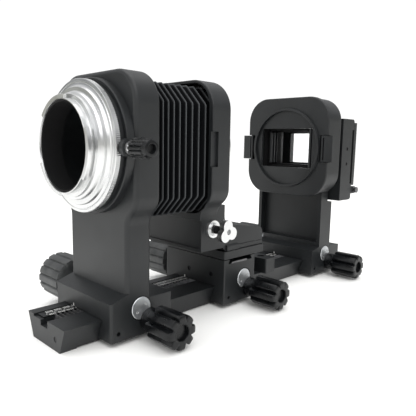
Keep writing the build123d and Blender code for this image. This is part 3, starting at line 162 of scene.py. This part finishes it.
class Finish:
    """A material being built: its nodes, with short ways to add and join them."""

    def __init__(self, name):
        self.material = bpy.data.materials.new(name)
        self.material.use_nodes = True
        self.tree = self.material.node_tree
        self.shader = self.tree.nodes["Principled BSDF"]
        self.coords = self.tree.nodes.new("ShaderNodeTexCoord")

    def set(self, **values):
        for name, value in values.items():
            socket = self.shader.inputs[name.replace("_", " ")]
            socket.default_value = (*value, 1) if isinstance(value, tuple) else value
        return self

    def noise(self, scale, detail, stretch=(1, 1, 1)):
        placed = self.tree.nodes.new("ShaderNodeMapping")
        placed.inputs["Scale"].default_value = stretch
        node = self.tree.nodes.new("ShaderNodeTexNoise")
        node.inputs["Scale"].default_value = scale
        node.inputs["Detail"].default_value = detail
        self.tree.links.new(self.coords.outputs["Object"], placed.inputs["Vector"])
        self.tree.links.new(placed.outputs["Vector"], node.inputs["Vector"])
        return node.outputs["Fac"]

    def spread(self, value, low, high, to=(0.0, 1.0)):
        node = self.tree.nodes.new("ShaderNodeMapRange")
        node.inputs["From Min"].default_value = low
        node.inputs["From Max"].default_value = high
        node.inputs["To Min"].default_value = to[0]
        node.inputs["To Max"].default_value = to[1]
        self.tree.links.new(value, node.inputs["Value"])
        return node.outputs["Result"]

    def tint(self, value, dark, light):
        node = self.tree.nodes.new("ShaderNodeMix")
        node.data_type = "RGBA"
        node.inputs["A"].default_value = (*dark, 1)
        node.inputs["B"].default_value = (*light, 1)
        self.tree.links.new(value, node.inputs["Factor"])
        self.tree.links.new(node.outputs["Result"], self.shader.inputs["Base Color"])
        return self

    def rough(self, value):
        self.tree.links.new(value, self.shader.inputs["Roughness"])
        return self

    def bump(self, value, strength, depth):
        node = self.tree.nodes.new("ShaderNodeBump")
        node.inputs["Strength"].default_value = strength
        node.inputs["Distance"].default_value = depth
        self.tree.links.new(value, node.inputs["Height"])
        self.tree.links.new(node.outputs["Normal"], self.shader.inputs["Normal"])
        return self


def satin_black_paint():
    """Baked enamel on die castings: fine orange peel and faint cloudy wear."""
    finish = Finish("satin_black_enamel").set(Specular_IOR_Level=0.5)
    cloud = finish.noise(28.0, 4.0)
    grain = finish.noise(2600.0, 2.0)
    finish.tint(finish.spread(cloud, 0.35, 0.7), (0.0060, 0.0072, 0.0082), (0.0125, 0.0142, 0.0155))
    finish.rough(finish.spread(cloud, 0.3, 0.7, (0.50, 0.42)))
    finish.bump(grain, 0.35, 0.00006)
    return finish.material


def flat_black_paint():
    """Light-trapping matt black."""
    finish = Finish("matt_black_paint").set(Specular_IOR_Level=0.25)
    grain = finish.noise(3200.0, 3.0)
    finish.tint(finish.spread(grain, 0.3, 0.7), (0.003, 0.003, 0.0035), (0.0075, 0.0075, 0.008))
    finish.rough(finish.spread(grain, 0.3, 0.7, (0.72, 0.9)))
    finish.bump(grain, 0.4, 0.00008)
    return finish.material


def knob_black():
    """Moulded black knob, slightly glossy, with rubbed crests."""
    finish = Finish("glossy_knob_black").set(Specular_IOR_Level=0.32)
    rub = finish.noise(190.0, 4.0)
    grain = finish.noise(3000.0, 2.0)
    finish.tint(finish.spread(rub, 0.4, 0.75), (0.0022, 0.0026, 0.0032), (0.0065, 0.0072, 0.0082))
    finish.rough(finish.spread(rub, 0.3, 0.7, (0.24, 0.36)))
    finish.bump(grain, 0.15, 0.00004)
    return finish.material


def rubbed_knob_black():
    """The big knobs' dull black, lightened all over as painted sheen for top light and sky reflection, in
    random patches.
    """
    finish = Finish("rubbed_knob_black").set(Specular_IOR_Level=0.5)
    rub = finish.noise(120.0, 4.0)
    # Both tints are lighter than the small knobs' black: painted sheen. The noise only varies it at random.
    finish.tint(finish.spread(rub, 0.35, 0.7), (0.030, 0.032, 0.033), (0.075, 0.078, 0.078))
    finish.rough(finish.spread(rub, 0.3, 0.7, (0.42, 0.55)))
    finish.bump(rub, 0.1, 0.00005)
    return finish.material


def spun_metal(name, colour, worn, roughness):
    """Turned bright metal whose tool marks run round the X axis of the mount."""
    finish = Finish(name).set(Metallic=1.0)
    haze = finish.noise(60.0, 5.0)
    lines = finish.noise(220.0, 3.0, (14.0, 0.5, 0.5))
    finish.tint(finish.spread(haze, 0.35, 0.7), colour, worn)
    finish.rough(finish.spread(haze, 0.3, 0.7, roughness))
    finish.bump(lines, 0.12, 0.00005)
    return finish.material


def machined(name, colour, worn, roughness):
    """Plain machined metal with fine tooling haze."""
    finish = Finish(name).set(Metallic=1.0)
    haze = finish.noise(420.0, 5.0)
    finish.tint(finish.spread(haze, 0.35, 0.7), colour, worn)
    finish.rough(finish.spread(haze, 0.3, 0.7, roughness))
    finish.bump(haze, 0.12, 0.00005)
    return finish.material


def folded_leather():
    """Black bellows cloth with a fine pebbled grain, coloured lighter along its outer fold crests."""
    finish = Finish("bellows_cloth").set(Specular_IOR_Level=0.12)
    grain = finish.noise(1500.0, 4.0)
    crest = finish.tree.nodes.new("ShaderNodeAttribute")
    crest.attribute_name = "crest"
    # Lighter on the outer fold crests, where the crest attribute is set.
    finish.tint(crest.outputs["Fac"], (0.0012, 0.0016, 0.0024), (0.085, 0.090, 0.094))
    finish.rough(finish.spread(grain, 0.3, 0.7, (0.62, 0.8)))
    finish.bump(grain, 0.5, 0.00010)
    return finish.material


def opal_sheet():
    """White opal acrylic, lit from behind by the room through its transmission, with a painted glow from
    emission on top.
    """
    finish = Finish("opal_acrylic").set(Roughness=0.35, Transmission_Weight=0.35)
    cloud = finish.noise(40.0, 2.0)
    finish.tint(finish.spread(cloud, 0.3, 0.7), (0.90, 0.91, 0.90), (0.95, 0.955, 0.95))
    # Emission: a painted glow that stands in for light coming through from behind.
    finish.shader.inputs["Emission Color"].default_value = (1, 1, 1, 1)
    finish.shader.inputs["Emission Strength"].default_value = 0.6
    return finish.material


def white_ink():
    """Filled white engraving, a little worn."""
    finish = Finish("white_ink").set(Roughness=0.6)
    worn = finish.noise(900.0, 3.0)
    return finish.tint(finish.spread(worn, 0.3, 0.6), (0.35, 0.35, 0.34), (0.78, 0.78, 0.76)).material


finishes = {
    "white_ink": white_ink(),
    "black_paint": satin_black_paint(),
    "flat_black": flat_black_paint(),
    "knob_plastic": knob_black(),
    "rubbed_knob": rubbed_knob_black(),
    "bright_chrome": spun_metal("bright_chrome", (0.66, 0.665, 0.67), (0.76, 0.765, 0.76), (0.25, 0.34)),
    "satin_chrome": machined("satin_chrome", (0.60, 0.62, 0.64), (0.72, 0.74, 0.76), (0.40, 0.52)),
    "steel": machined("cut_steel", (0.13, 0.13, 0.135), (0.22, 0.22, 0.225), (0.34, 0.46)),
    "black_screw": machined("blackened_steel", (0.020, 0.020, 0.022), (0.045, 0.045, 0.048),
                            (0.30, 0.45)),
    "brass": machined("machined_brass", (0.62, 0.45, 0.20), (0.78, 0.60, 0.30), (0.24, 0.38)),
    "scale_aluminium": machined("scale_anodised", (0.030, 0.031, 0.033), (0.055, 0.056, 0.058),
                                (0.34, 0.48)),
    "bellows_leather": folded_leather(),
    "opal": opal_sheet(),
}


def paint_frame():
    """Every carried-over node takes the finish of its own slot."""
    for subpart in frame["record"]["subparts"]:
        slots = nodes[subpart["node"]].data.materials
        slots.clear()
        slots.append(finishes[subpart["material_slot"]])


paint_frame()


# ---------------------------------------------------------------- making meshes

def smooth(mesh, sharp=32):
    """Round shading, with edges steeper than sharp degrees left crisp."""
    for polygon in mesh.polygons:
        polygon.use_smooth = True
    mesh.set_sharp_from_angle(angle=radians(sharp))


def settle(name, mesh, slot, body, *stands_for):
    """Make a finished mesh a piece that rides on a body, in the finish of its slot."""
    piece = bpy.data.objects.new(name, mesh)
    scene.collection.objects.link(piece)
    if not mesh.materials:
        mesh.materials.append(finishes[slot])
    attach(piece, body)
    if stands_for:
        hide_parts(*stands_for)
    return piece


def skin(name, rows, ring=False):
    """A closed surface through rows of points, each row a loop of the same count."""
    form = bmesh.new()
    loops = [[form.verts.new(point) for point in row] for row in rows]
    count = len(loops[0])
    pairs = list(zip(loops, loops[1:])) + ([(loops[-1], loops[0])] if ring else [])
    for here, there in pairs:
        for step in range(count):
            after = (step + 1) % count
            form.faces.new((here[step], here[after], there[after], there[step]))
    if not ring:
        form.faces.new(loops[0])
        form.faces.new(loops[-1])
    bmesh.ops.recalc_face_normals(form, faces=form.faces)
    mesh = bpy.data.meshes.new(name)
    form.to_mesh(mesh)
    form.free()
    smooth(mesh)
    return mesh


def along_x(y, z):
    """Places a turned body's points: its axis runs along X through y and z."""
    return lambda s, a, b: Vector((s, y + a, z + b))


def along_y(x, z):
    """The same, for an axis along Y through x and z."""
    return lambda s, a, b: Vector((x + a, s, z + b))


def fluted(angle, flutes, groove):
    """How deep in a groove a point is, from 0 on the land to 1 on the groove's floor."""
    across = abs((angle * flutes / tau) % 1.0 - 0.5) * 2
    share = min(max((groove - across) / groove, 0.0), 1.0)
    return share * share * (3 - 2 * share)


def turned(name, place, layers, segments=96, flutes=0, depth=0.0, groove=0.5, ring=False):
    """A body turned about an axis from (station, radius, share of the flutes) layers, in mm."""
    rows = []
    for station, radius, share in layers:
        row = []
        for step in range(segments):
            angle = tau * step / segments
            cut = depth * share * fluted(angle, flutes, groove) if flutes else 0.0
            reach = (radius - cut) * MM
            row.append(place(station * MM, reach * cos(angle), reach * sin(angle)))
        rows.append(row)
    return skin(name, rows, ring)


def middle(node):
    """The middle of a node's box, in mm."""
    low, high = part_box(node)
    return (low + high) / 2 / MM


def corners(node):
    """The low and the high corner of a node's box, in mm."""
    low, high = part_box(node)
    return low / MM, high / MM


# ---------------------------------------------------------------- repeats, by geometry nodes

def new_tree(name, sizes):
    """An empty node tree with an input for each named size, and its in and out nodes."""
    tree = bpy.data.node_groups.new(name, "GeometryNodeTree")
    tree.interface.new_socket("Geometry", in_out="INPUT", socket_type="NodeSocketGeometry")
    for size in sizes:
        kind = "NodeSocketInt" if size == "Count" else "NodeSocketFloat"
        tree.interface.new_socket(size, in_out="INPUT", socket_type=kind)
    tree.interface.new_socket("Finish", in_out="INPUT", socket_type="NodeSocketMaterial")
    tree.interface.new_socket("Geometry", in_out="OUTPUT", socket_type="NodeSocketGeometry")
    return tree, tree.nodes.new("NodeGroupInput"), tree.nodes.new("NodeGroupOutput")


def finish_tree(tree, source, instances, out):
    """Ends a tree: instances made real, then given the finish."""
    real = tree.nodes.new("GeometryNodeRealizeInstances")
    paint = tree.nodes.new("GeometryNodeSetMaterial")
    tree.links.new(instances, real.inputs["Geometry"])
    tree.links.new(real.outputs["Geometry"], paint.inputs["Geometry"])
    tree.links.new(source.outputs["Finish"], paint.inputs["Material"])
    tree.links.new(paint.outputs["Geometry"], out.inputs[0])


def rod_circle_tree():
    """Small rods that stand parallel round a circle: a knurl's ridges."""
    tree, source, out = new_tree("rod_circle", ("Count", "Radius", "Rod Radius", "Rod Length"))
    circle = tree.nodes.new("GeometryNodeMeshCircle")
    rod = tree.nodes.new("GeometryNodeMeshCylinder")
    rod.inputs["Vertices"].default_value = 6
    copies = tree.nodes.new("GeometryNodeInstanceOnPoints")
    link = tree.links.new
    link(source.outputs["Count"], circle.inputs["Vertices"])
    link(source.outputs["Radius"], circle.inputs["Radius"])
    link(source.outputs["Rod Radius"], rod.inputs["Radius"])
    link(source.outputs["Rod Length"], rod.inputs["Depth"])
    link(circle.outputs["Mesh"], copies.inputs["Points"])
    link(rod.outputs["Mesh"], copies.inputs["Instance"])
    finish_tree(tree, source, copies.outputs["Instances"], out)
    return tree


def bar_row_tree():
    """Small bars in a straight row along X: graduations and ribs."""
    tree, source, out = new_tree("bar_row", ("Count", "Pitch", "Bar X", "Bar Y", "Bar Z"))
    line = tree.nodes.new("GeometryNodeMeshLine")
    step = tree.nodes.new("ShaderNodeCombineXYZ")
    size = tree.nodes.new("ShaderNodeCombineXYZ")
    bar = tree.nodes.new("GeometryNodeMeshCube")
    copies = tree.nodes.new("GeometryNodeInstanceOnPoints")
    link = tree.links.new
    link(source.outputs["Count"], line.inputs["Count"])
    link(source.outputs["Pitch"], step.inputs["X"])
    link(step.outputs[0], line.inputs["Offset"])
    for axis in "XYZ":
        link(source.outputs[f"Bar {axis}"], size.inputs[axis])
    link(size.outputs[0], bar.inputs["Size"])
    link(line.outputs["Mesh"], copies.inputs["Points"])
    link(bar.outputs["Mesh"], copies.inputs["Instance"])
    finish_tree(tree, source, copies.outputs["Instances"], out)
    return tree


def grow(name, tree, finish, turn, **sizes):
    """The mesh that a tree makes with these sizes, in mm, turned and moved into its place."""
    seed = bpy.data.objects.new(name, bpy.data.meshes.new(name))
    scene.collection.objects.link(seed)
    modifier = seed.modifiers.new("grow", "NODES")
    modifier.node_group = tree
    for item in tree.interface.items_tree:
        if item.in_out == "OUTPUT" or item.name == "Geometry":
            continue
        if item.name == "Finish":
            modifier[item.identifier] = finishes[finish]
        else:
            value = sizes[item.name.replace(" ", "_")]
            modifier[item.identifier] = value if item.name == "Count" else float(value * MM)
    bpy.context.view_layer.update()
    ready = seed.evaluated_get(bpy.context.evaluated_depsgraph_get())
    mesh = bpy.data.meshes.new_from_object(ready)
    bpy.data.objects.remove(seed)
    mesh.transform(turn)
    smooth(mesh)
    return mesh


def facing(direction, place):
    """Turns a tree's Z axis to a direction, then moves its origin to a place in mm."""
    spin = Vector(direction).to_track_quat("Z", "Y").to_matrix().to_4x4()
    return Matrix.Translation(Vector(place) * MM) @ spin


def moved(place):
    """Moves a tree's origin to a place in mm."""
    return Matrix.Translation(Vector(place) * MM)


rod_circle = rod_circle_tree()
bar_row = bar_row_tree()


# ---------------------------------------------------------------- camera mount

def make_camera_flange():
    """Chrome flange: knurled rim, two turned steps, locating ring and lugged barrel."""
    low, high = corners("camera_flange")
    axis = middle("camera_flange")
    place = along_x(axis.y * MM, axis.z * MM)
    rim = (high.y - low.y) / 2
    back, front = high.x, low.x
    bore, barrel, register = 22.9, 23.5, 25.6
    knurl_start, knurl_length = back - 0.4, 2.0
    profile = [
        (back, bore), (back, rim - 0.8), (back - 0.2, rim - 0.5), (knurl_start, rim - 0.45),
        (knurl_start - knurl_length, rim - 0.45), (back - 2.5, rim - 0.15), (back - 2.75, rim - 0.1),
        (back - 3.0, rim - 0.35), (back - 3.1, rim - 1.5), (back - 2.8, rim - 1.7), (back - 2.8, rim - 2.1),
        (back - 3.3, rim - 2.3), (back - 3.4, rim - 3.5), (back - 3.6, rim - 3.9), (back - 4.6, rim - 4.2),
        (back - 4.9, rim - 4.5), (back - 4.95, rim - 6.3), (back - 5.2, rim - 6.6), (back - 6.4, rim - 6.9),
        (back - 6.9, rim - 7.4), (back - 7.3, register + 0.15), (back - 7.5, register),
        (back - 8.9, register), (back - 9.0, barrel + 0.1), (back - 9.15, barrel),
        (front + 0.25, barrel), (front, barrel - 0.2), (front, bore + 0.1), (front + 0.2, bore),
    ]
    layers = [(station, radius, 0) for station, radius in profile]
    mesh = turned("mount_flange", place, layers, segments=160, ring=True)
    settle("mount_flange", mesh, "bright_chrome", "camera_mount", "camera_flange")
    turn = facing((1, 0, 0), (knurl_start - knurl_length / 2, axis.y, axis.z))
    sizes = {"Count": 216, "Radius": rim - 0.36, "Rod_Radius": 0.33, "Rod_Length": knurl_length}
    settle("flange_knurl", grow("flange_knurl", rod_circle, "bright_chrome", turn, **sizes),
           "bright_chrome", "camera_mount")
    first_lug, half_angle, lug_depth, steps = 68, radians(30), 1.7, 18
    root, tip = barrel - 0.3, barrel + 1.8
    outline = ((front, tip - 0.2), (front + 0.2, tip), (front + lug_depth, tip))
    for lug in range(3):
        lug_angle = radians(first_lug + 120 * lug)
        rows = []
        for station, outer in outline:
            loop = []
            for edge, sweep in ((outer, range(steps + 1)), (root, range(steps, -1, -1))):
                for step in sweep:
                    angle = lug_angle + half_angle * (2 * step / steps - 1)
                    loop.append(place(station * MM, edge * MM * cos(angle), edge * MM * sin(angle)))
            rows.append(loop)
        settle(f"bayonet_lug_{lug + 1}", skin("bayonet_lug", rows), "bright_chrome", "camera_mount")


def make_mount_knob():
    """Small fluted thumb screw that clamps the turning mount."""
    low, high = corners("mount_lock_knob")
    axis = middle("mount_lock_knob")
    radius = (high.x - low.x) / 2
    end, inner = low.y, high.y
    layers = [
        (end + 2.0, 0.3, 0), (end + 2.0, 2.1, 0), (end + 0.2, 2.3, 0), (end, 2.6, 0),
        (end, radius - 1.5, 0), (end + 0.3, radius - 1.0, 0), (end + 1.6, radius - 0.7, 0),
        (end + 2.3, radius - 0.6, 0.2),
        (end + 2.8, radius, 1), (inner - 1.2, radius, 1), (inner - 0.6, radius - 0.5, 0.8),
        (inner, radius - 1.4, 0), (inner, 0.3, 0),
    ]
    place = along_y(axis.x * MM, axis.z * MM)
    mesh = turned("mount_knob", place, layers, segments=168, flutes=14, depth=0.75, groove=0.55)
    settle("mount_knob", mesh, "knob_plastic", "mount_lock", "mount_lock_knob")


# ---------------------------------------------------------------- knobs

def make_lock_knob(name):
    """Lobed lock knob with a plain neck and a recess in its outer end."""
    node = f"{name}_lock_knob"
    low, high = corners(node)
    axis = middle(node)
    radius = (high.x - low.x) / 2
    end, neck_end = low.y, high.y
    length, neck, recess = 19.5, 6.2, 4.1
    inner = end + length
    layers = [
        (end + 2.2, 0.4, 0), (end + 2.2, recess, 0), (end + 0.35, recess, 0), (end, recess + 0.35, 0),
        (end, radius - 2.3, 0.35), (end + 0.12, radius - 1.0, 0.85), (end + 0.45, radius - 0.35, 1),
        (end + 1.1, radius, 1), (inner - 1.0, radius, 1), (inner - 0.35, radius - 0.3, 1),
        (inner, radius - 1.1, 0.9), (inner, neck + 0.3, 0), (inner + 0.3, neck, 0),
        (neck_end - 0.3, neck, 0), (neck_end, neck - 0.3, 0), (neck_end, 0.4, 0),
    ]
    place = along_y(axis.x * MM, axis.z * MM)
    mesh = turned(f"{name}_lobed_knob", place, layers, segments=160, flutes=8, depth=2.3, groove=0.52)
    settle(f"{name}_lobed_knob", mesh, "knob_plastic", f"{name}_lock", node)


def make_drive_knob(name):
    """Large focusing knob: broad lands between shallow grooves, dished at the outer end."""
    node = f"{name}_drive_knob"
    low, high = corners(node)
    axis = middle(node)
    radius = (high.x - low.x) / 2
    inner, end = low.y, high.y
    dish = end - 1.2
    layers = [
        (inner, 3.1, 0), (inner, radius - 2.4, 0), (inner + 0.2, radius - 1.2, 0.6),
        (inner + 0.9, radius, 1), (end - 0.9, radius, 1), (end - 0.25, radius - 0.8, 0.8),
        (end, radius - 2.0, 0),
        (end, 9.3, 0), (end - 0.3, 9.0, 0), (dish, 8.9, 0), (dish, 5.2, 0), (end - 0.9, 4.9, 0),
        (end - 0.9, 0.5, 0),
    ]
    place = along_y(axis.x * MM, axis.z * MM)
    mesh = turned(f"{name}_focus_knob", place, layers, segments=192, flutes=16, depth=0.9, groove=0.34)
    # The drive knobs take the lighter black with its painted sheen.
    mesh.materials.append(finishes["rubbed_knob"])
    settle(f"{name}_focus_knob", mesh, "knob_plastic", f"{name}_drive", node)


# ---------------------------------------------------------------- bellows

def cut_rectangle(x, half_width, half_height, corner, centre_z, soften=0.9):
    """One fold's outline: a rectangle with cut corners, each new corner a little rounded."""
    w, h, c, s = half_width, half_height, corner, soften
    sharp = [
        (-w, h - c), (c - w, h), (w - c, h), (w, h - c), (w, c - h), (w - c, -h), (c - w, -h), (-w, c - h),
    ]
    outline = []
    for index, (y, z) in enumerate(sharp):
        before, after = Vector(sharp[index - 1]), Vector(sharp[(index + 1) % len(sharp)])
        here = Vector((y, z))
        into = here + (before - here).normalized() * s
        away = here + (after - here).normalized() * s
        outline += [into, (into + away + 2 * here) / 4, away]
        reach = after - away
        outline += [away + reach * share for share in (0.3, 0.65)]
    return [Vector((x, point.x, centre_z + point.y)) * MM for point in outline]


def make_bellows():
    """Pleated bellows made in four lengths."""
    low, high = corners("bellows")
    centre = middle("bellows")
    half_width, half_height, corner = 29.0, 36.0, 10.5
    pleats, pleat, cloth, lining = 12, 5.0, 0.7, 0.6
    crest, crest_reach, diagonal = 0.17, 0.3, 1.41
    length = high.x - low.x

    def station(fold):
        """Folds lie closer together towards the camera end."""
        share = fold / pleats
        even, crowded = 0.62, 0.38
        return low.x + length * (even * share + crowded * share * share)

    lengths = (
        ("bellows_rear", 0, 5, "rear_standard", "rail"),
        ("bellows_middle", 5, 8, "rail", "front_carriage"),
        ("bellows_shift", 8, 10, "front_carriage", "shift_slide"),
        ("bellows_front", 10, 12, "shift_slide", "front_standard"),
    )
    for name, first, last, rear_body, front_body in lengths:
        outside = []
        for fold in range(first, last + 1):
            outside.append((station(fold), pleat))
            if fold < last:
                top = station(fold + 0.5)
                outside += [(top - 2.4 * crest, 1.0), (top - crest, 0.12), (top, 0.0)]
                outside += [(top + crest, 0.12), (top + 2.4 * crest, 1.0)]
        inside = [(x, inset + cloth + lining) for x, inset in reversed(outside)]
        rows = []
        for x, inset in outside + inside:
            inset_corner = corner - inset * 0.6
            rows.append(cut_rectangle(x, half_width - inset, half_height - inset, inset_corner, centre.z))
        mesh = skin(name, rows, ring=True)
        smooth(mesh, 20)
        # Mark the vertices on the outer fold crests, which the cloth colours lighter.
        crest_tone = mesh.attributes.new("crest", "FLOAT", "POINT")
        for vertex in mesh.vertices:
            across, up = abs(vertex.co.y / MM), abs(vertex.co.z / MM - centre.z)
            beyond_cut = (half_width + half_height - corner - across - up) / diagonal
            within = min(half_width - across, half_height - up, beyond_cut)
            crest_tone.data[vertex.index].value = 1.0 if within < crest_reach else 0.0
        piece = bpy.data.objects.new(name, mesh)
        scene.collection.objects.link(piece)
        mesh.materials.append(finishes["bellows_leather"])
        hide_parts("bellows")
        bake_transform(piece)


# ---------------------------------------------------------------- rail scale and marks

def make_scale():
    """Millimetre graduations along the scale plate."""
    low, high = corners("scale_plate")
    top, margin, edge_gap = high.z + 0.02, 3.0, 0.3
    start = low.x + margin
    near_edge, far_edge = high.y - edge_gap, low.y + edge_gap
    rows = (
        ("scale_ticks_1mm", 1.0, 2.6, near_edge, -1), ("scale_ticks_5mm", 5.0, 3.2, near_edge, -1),
        ("scale_ticks_10mm", 10.0, 3.8, near_edge, -1), ("factor_ticks_1mm", 1.0, 1.8, far_edge, 1),
        ("factor_ticks_5mm", 5.0, 2.2, far_edge, 1),
    )
    for name, pitch, reach, edge, inward in rows:
        count = int((high.x - margin - start) / pitch) + 1
        place = moved((start, edge + inward * reach / 2, top))
        sizes = {"Count": count, "Pitch": pitch, "Bar_X": 0.42, "Bar_Y": reach, "Bar_Z": 0.04}
        mesh = grow(name, bar_row, "white_ink", place, **sizes)
        settle(name, mesh, "scale_aluminium", "rail")


def make_index_marks():
    """A small white index on the lower front edge of each carriage, beside the scale."""
    scale = middle("scale_plate")
    top = corners("scale_plate")[1].z
    marks = {
        "rear_index": ("rear_standard_frame", "rear_standard"),
        "front_index": ("front_carriage_block", "front_carriage"),
        "copier_index": ("copier_frame", "slide_copier"),
    }
    for name, (node, body) in marks.items():
        front = corners(node)[0].x
        place = moved((front - 0.05, scale.y - 1.0, top + 1.7))
        sizes = {"Count": 1, "Pitch": 1.0, "Bar_X": 0.2, "Bar_Y": 0.55, "Bar_Z": 1.6}
        settle(name, grow(name, bar_row, "white_ink", place, **sizes), "scale_aluminium", body)


# ---------------------------------------------------------------- slide copier details

def make_copier_ribs():
    """Upright anti-glare ribs on both side walls of the copier's light tunnel."""
    axis = middle("copier_light_tunnel")
    first_rib, rib_y = corners("copier_light_tunnel")[0].x + 3.4, 19.9
    for name, side in (("near_ribs", -1), ("far_ribs", 1)):
        place = moved((first_rib, side * rib_y, axis.z))
        sizes = {"Count": 3, "Pitch": 3.6, "Bar_X": 1.1, "Bar_Y": 1.8, "Bar_Z": 24.0}
        settle(name, grow(name, bar_row, "black_paint", place, **sizes), "black_paint", "slide_copier")


def make_adapter_rim():
    """Rounded lip round the copier's adapter ring."""
    plate = corners("copier_front_plate")
    axis = middle("copier_light_tunnel")
    front, bore = plate[0].x, 28.5
    back = front + 1.75
    profile = (
        (front + 1.2, bore), (front + 0.3, 28.55), (front - 0.15, 28.9), (front - 0.3, 29.4),
        (front - 0.15, 30.0), (front + 0.3, 30.35), (front + 1.6, 30.6), (back, 30.65), (back, bore),
    )
    layers = [(station, radius, 0) for station, radius in profile]
    mesh = turned("adapter_rim", along_x(0, axis.z * MM), layers, segments=128, ring=True)
    settle("adapter_rim", mesh, "black_paint", "slide_copier")


def plate_piece(name, slot, body, x, y, z, bevel=0.15):
    """A thin plate between two x, two y and two z values in mm, its edges bevelled."""
    form = bmesh.new()
    bmesh.ops.create_cube(form, size=1.0)
    for vertex in form.verts:
        vertex.co = Vector([
            (low + high) / 2 + share * (high - low) for share, (low, high) in zip(vertex.co, (x, y, z))
        ])
    bmesh.ops.bevel(form, geom=form.edges, offset=bevel, segments=2, affect="EDGES", profile=0.6)
    bmesh.ops.scale(form, vec=(MM, MM, MM), verts=form.verts)
    mesh = bpy.data.meshes.new(name)
    form.to_mesh(mesh)
    form.free()
    smooth(mesh)
    return settle(name, mesh, slot, body)


def make_mask_slide():
    """Two upright strips at the near side of the mask's window, with a dark slit between them."""
    axis = middle("copier_light_tunnel")
    low, high = corners("copier_mask")
    half_height = 14.6
    deep, tall = (low.x + 0.4, high.x - 0.2), (axis.z - half_height, axis.z + half_height)
    for name, span in (("mask_slide_outer", (-24.6, -22.9)), ("mask_slide_inner", (-21.9, -20.2))):
        plate_piece(name, "black_paint", "slide_copier", deep, span, tall)


def make_cap_details(name, body):
    """Dark groove round a bearing cap, painted as a thin ring of matt black for the groove's shade, and its
    two bright spanner dimples.
    """
    node = f"{name}_bearing_cap"
    low, high = corners(node)
    axis = middle(node)
    radius = (high.x - low.x) / 2
    face = low.y
    wall = face + 0.4
    # A thin matt black ring laid at the cap's edge: painted shade standing in for the groove.
    top, foot, inner, outer = wall - 0.06, wall + 0.3, radius + 0.02, radius + 0.55
    layers = ((top, inner, 0), (top, outer, 0), (foot, outer, 0), (foot, inner, 0))
    groove = turned(f"{name}_cap_groove", along_y(axis.x * MM, axis.z * MM), layers, 64, ring=True)
    settle(f"{name}_cap_groove", groove, "flat_black", body)
    slant = radians(35)
    for number, reach in ((1, -3.2), (2, 3.2)):
        x = axis.x + reach * cos(slant)
        z = axis.z + reach * sin(slant)
        layers = ((face + 0.2, 0.75, 0), (face - 0.05, 0.75, 0), (face - 0.12, 0.62, 0),
                  (face + 0.05, 0.35, 0))
        dimple = f"{name}_cap_dimple_{number}"
        settle(dimple, turned(dimple, along_y(x * MM, z * MM), layers, 24), "bright_chrome", body)


def make_shift_gib():
    """Steel gib strip on the carriage block's side, over the end of the dovetail."""
    low, high = corners("front_carriage_block")
    across, up = (low.y - 0.45, low.y - 0.05), (high.z - 2.7, high.z - 1.5)
    plate_piece("shift_gib", "steel", "front_carriage", (-15.8, -1.2), across, up)


make_camera_flange()
make_mount_knob()
make_adapter_rim()
make_mask_slide()
make_shift_gib()
cap_bodies = {"rear": "rear_standard", "front": "front_carriage", "copier": "slide_copier"}
for cap_name, cap_body in cap_bodies.items():
    make_cap_details(cap_name, cap_body)
for end_name in ("rear", "front", "copier"):
    make_lock_knob(end_name)
    make_drive_knob(end_name)
make_bellows()
make_scale()
make_index_marks()
make_copier_ribs()
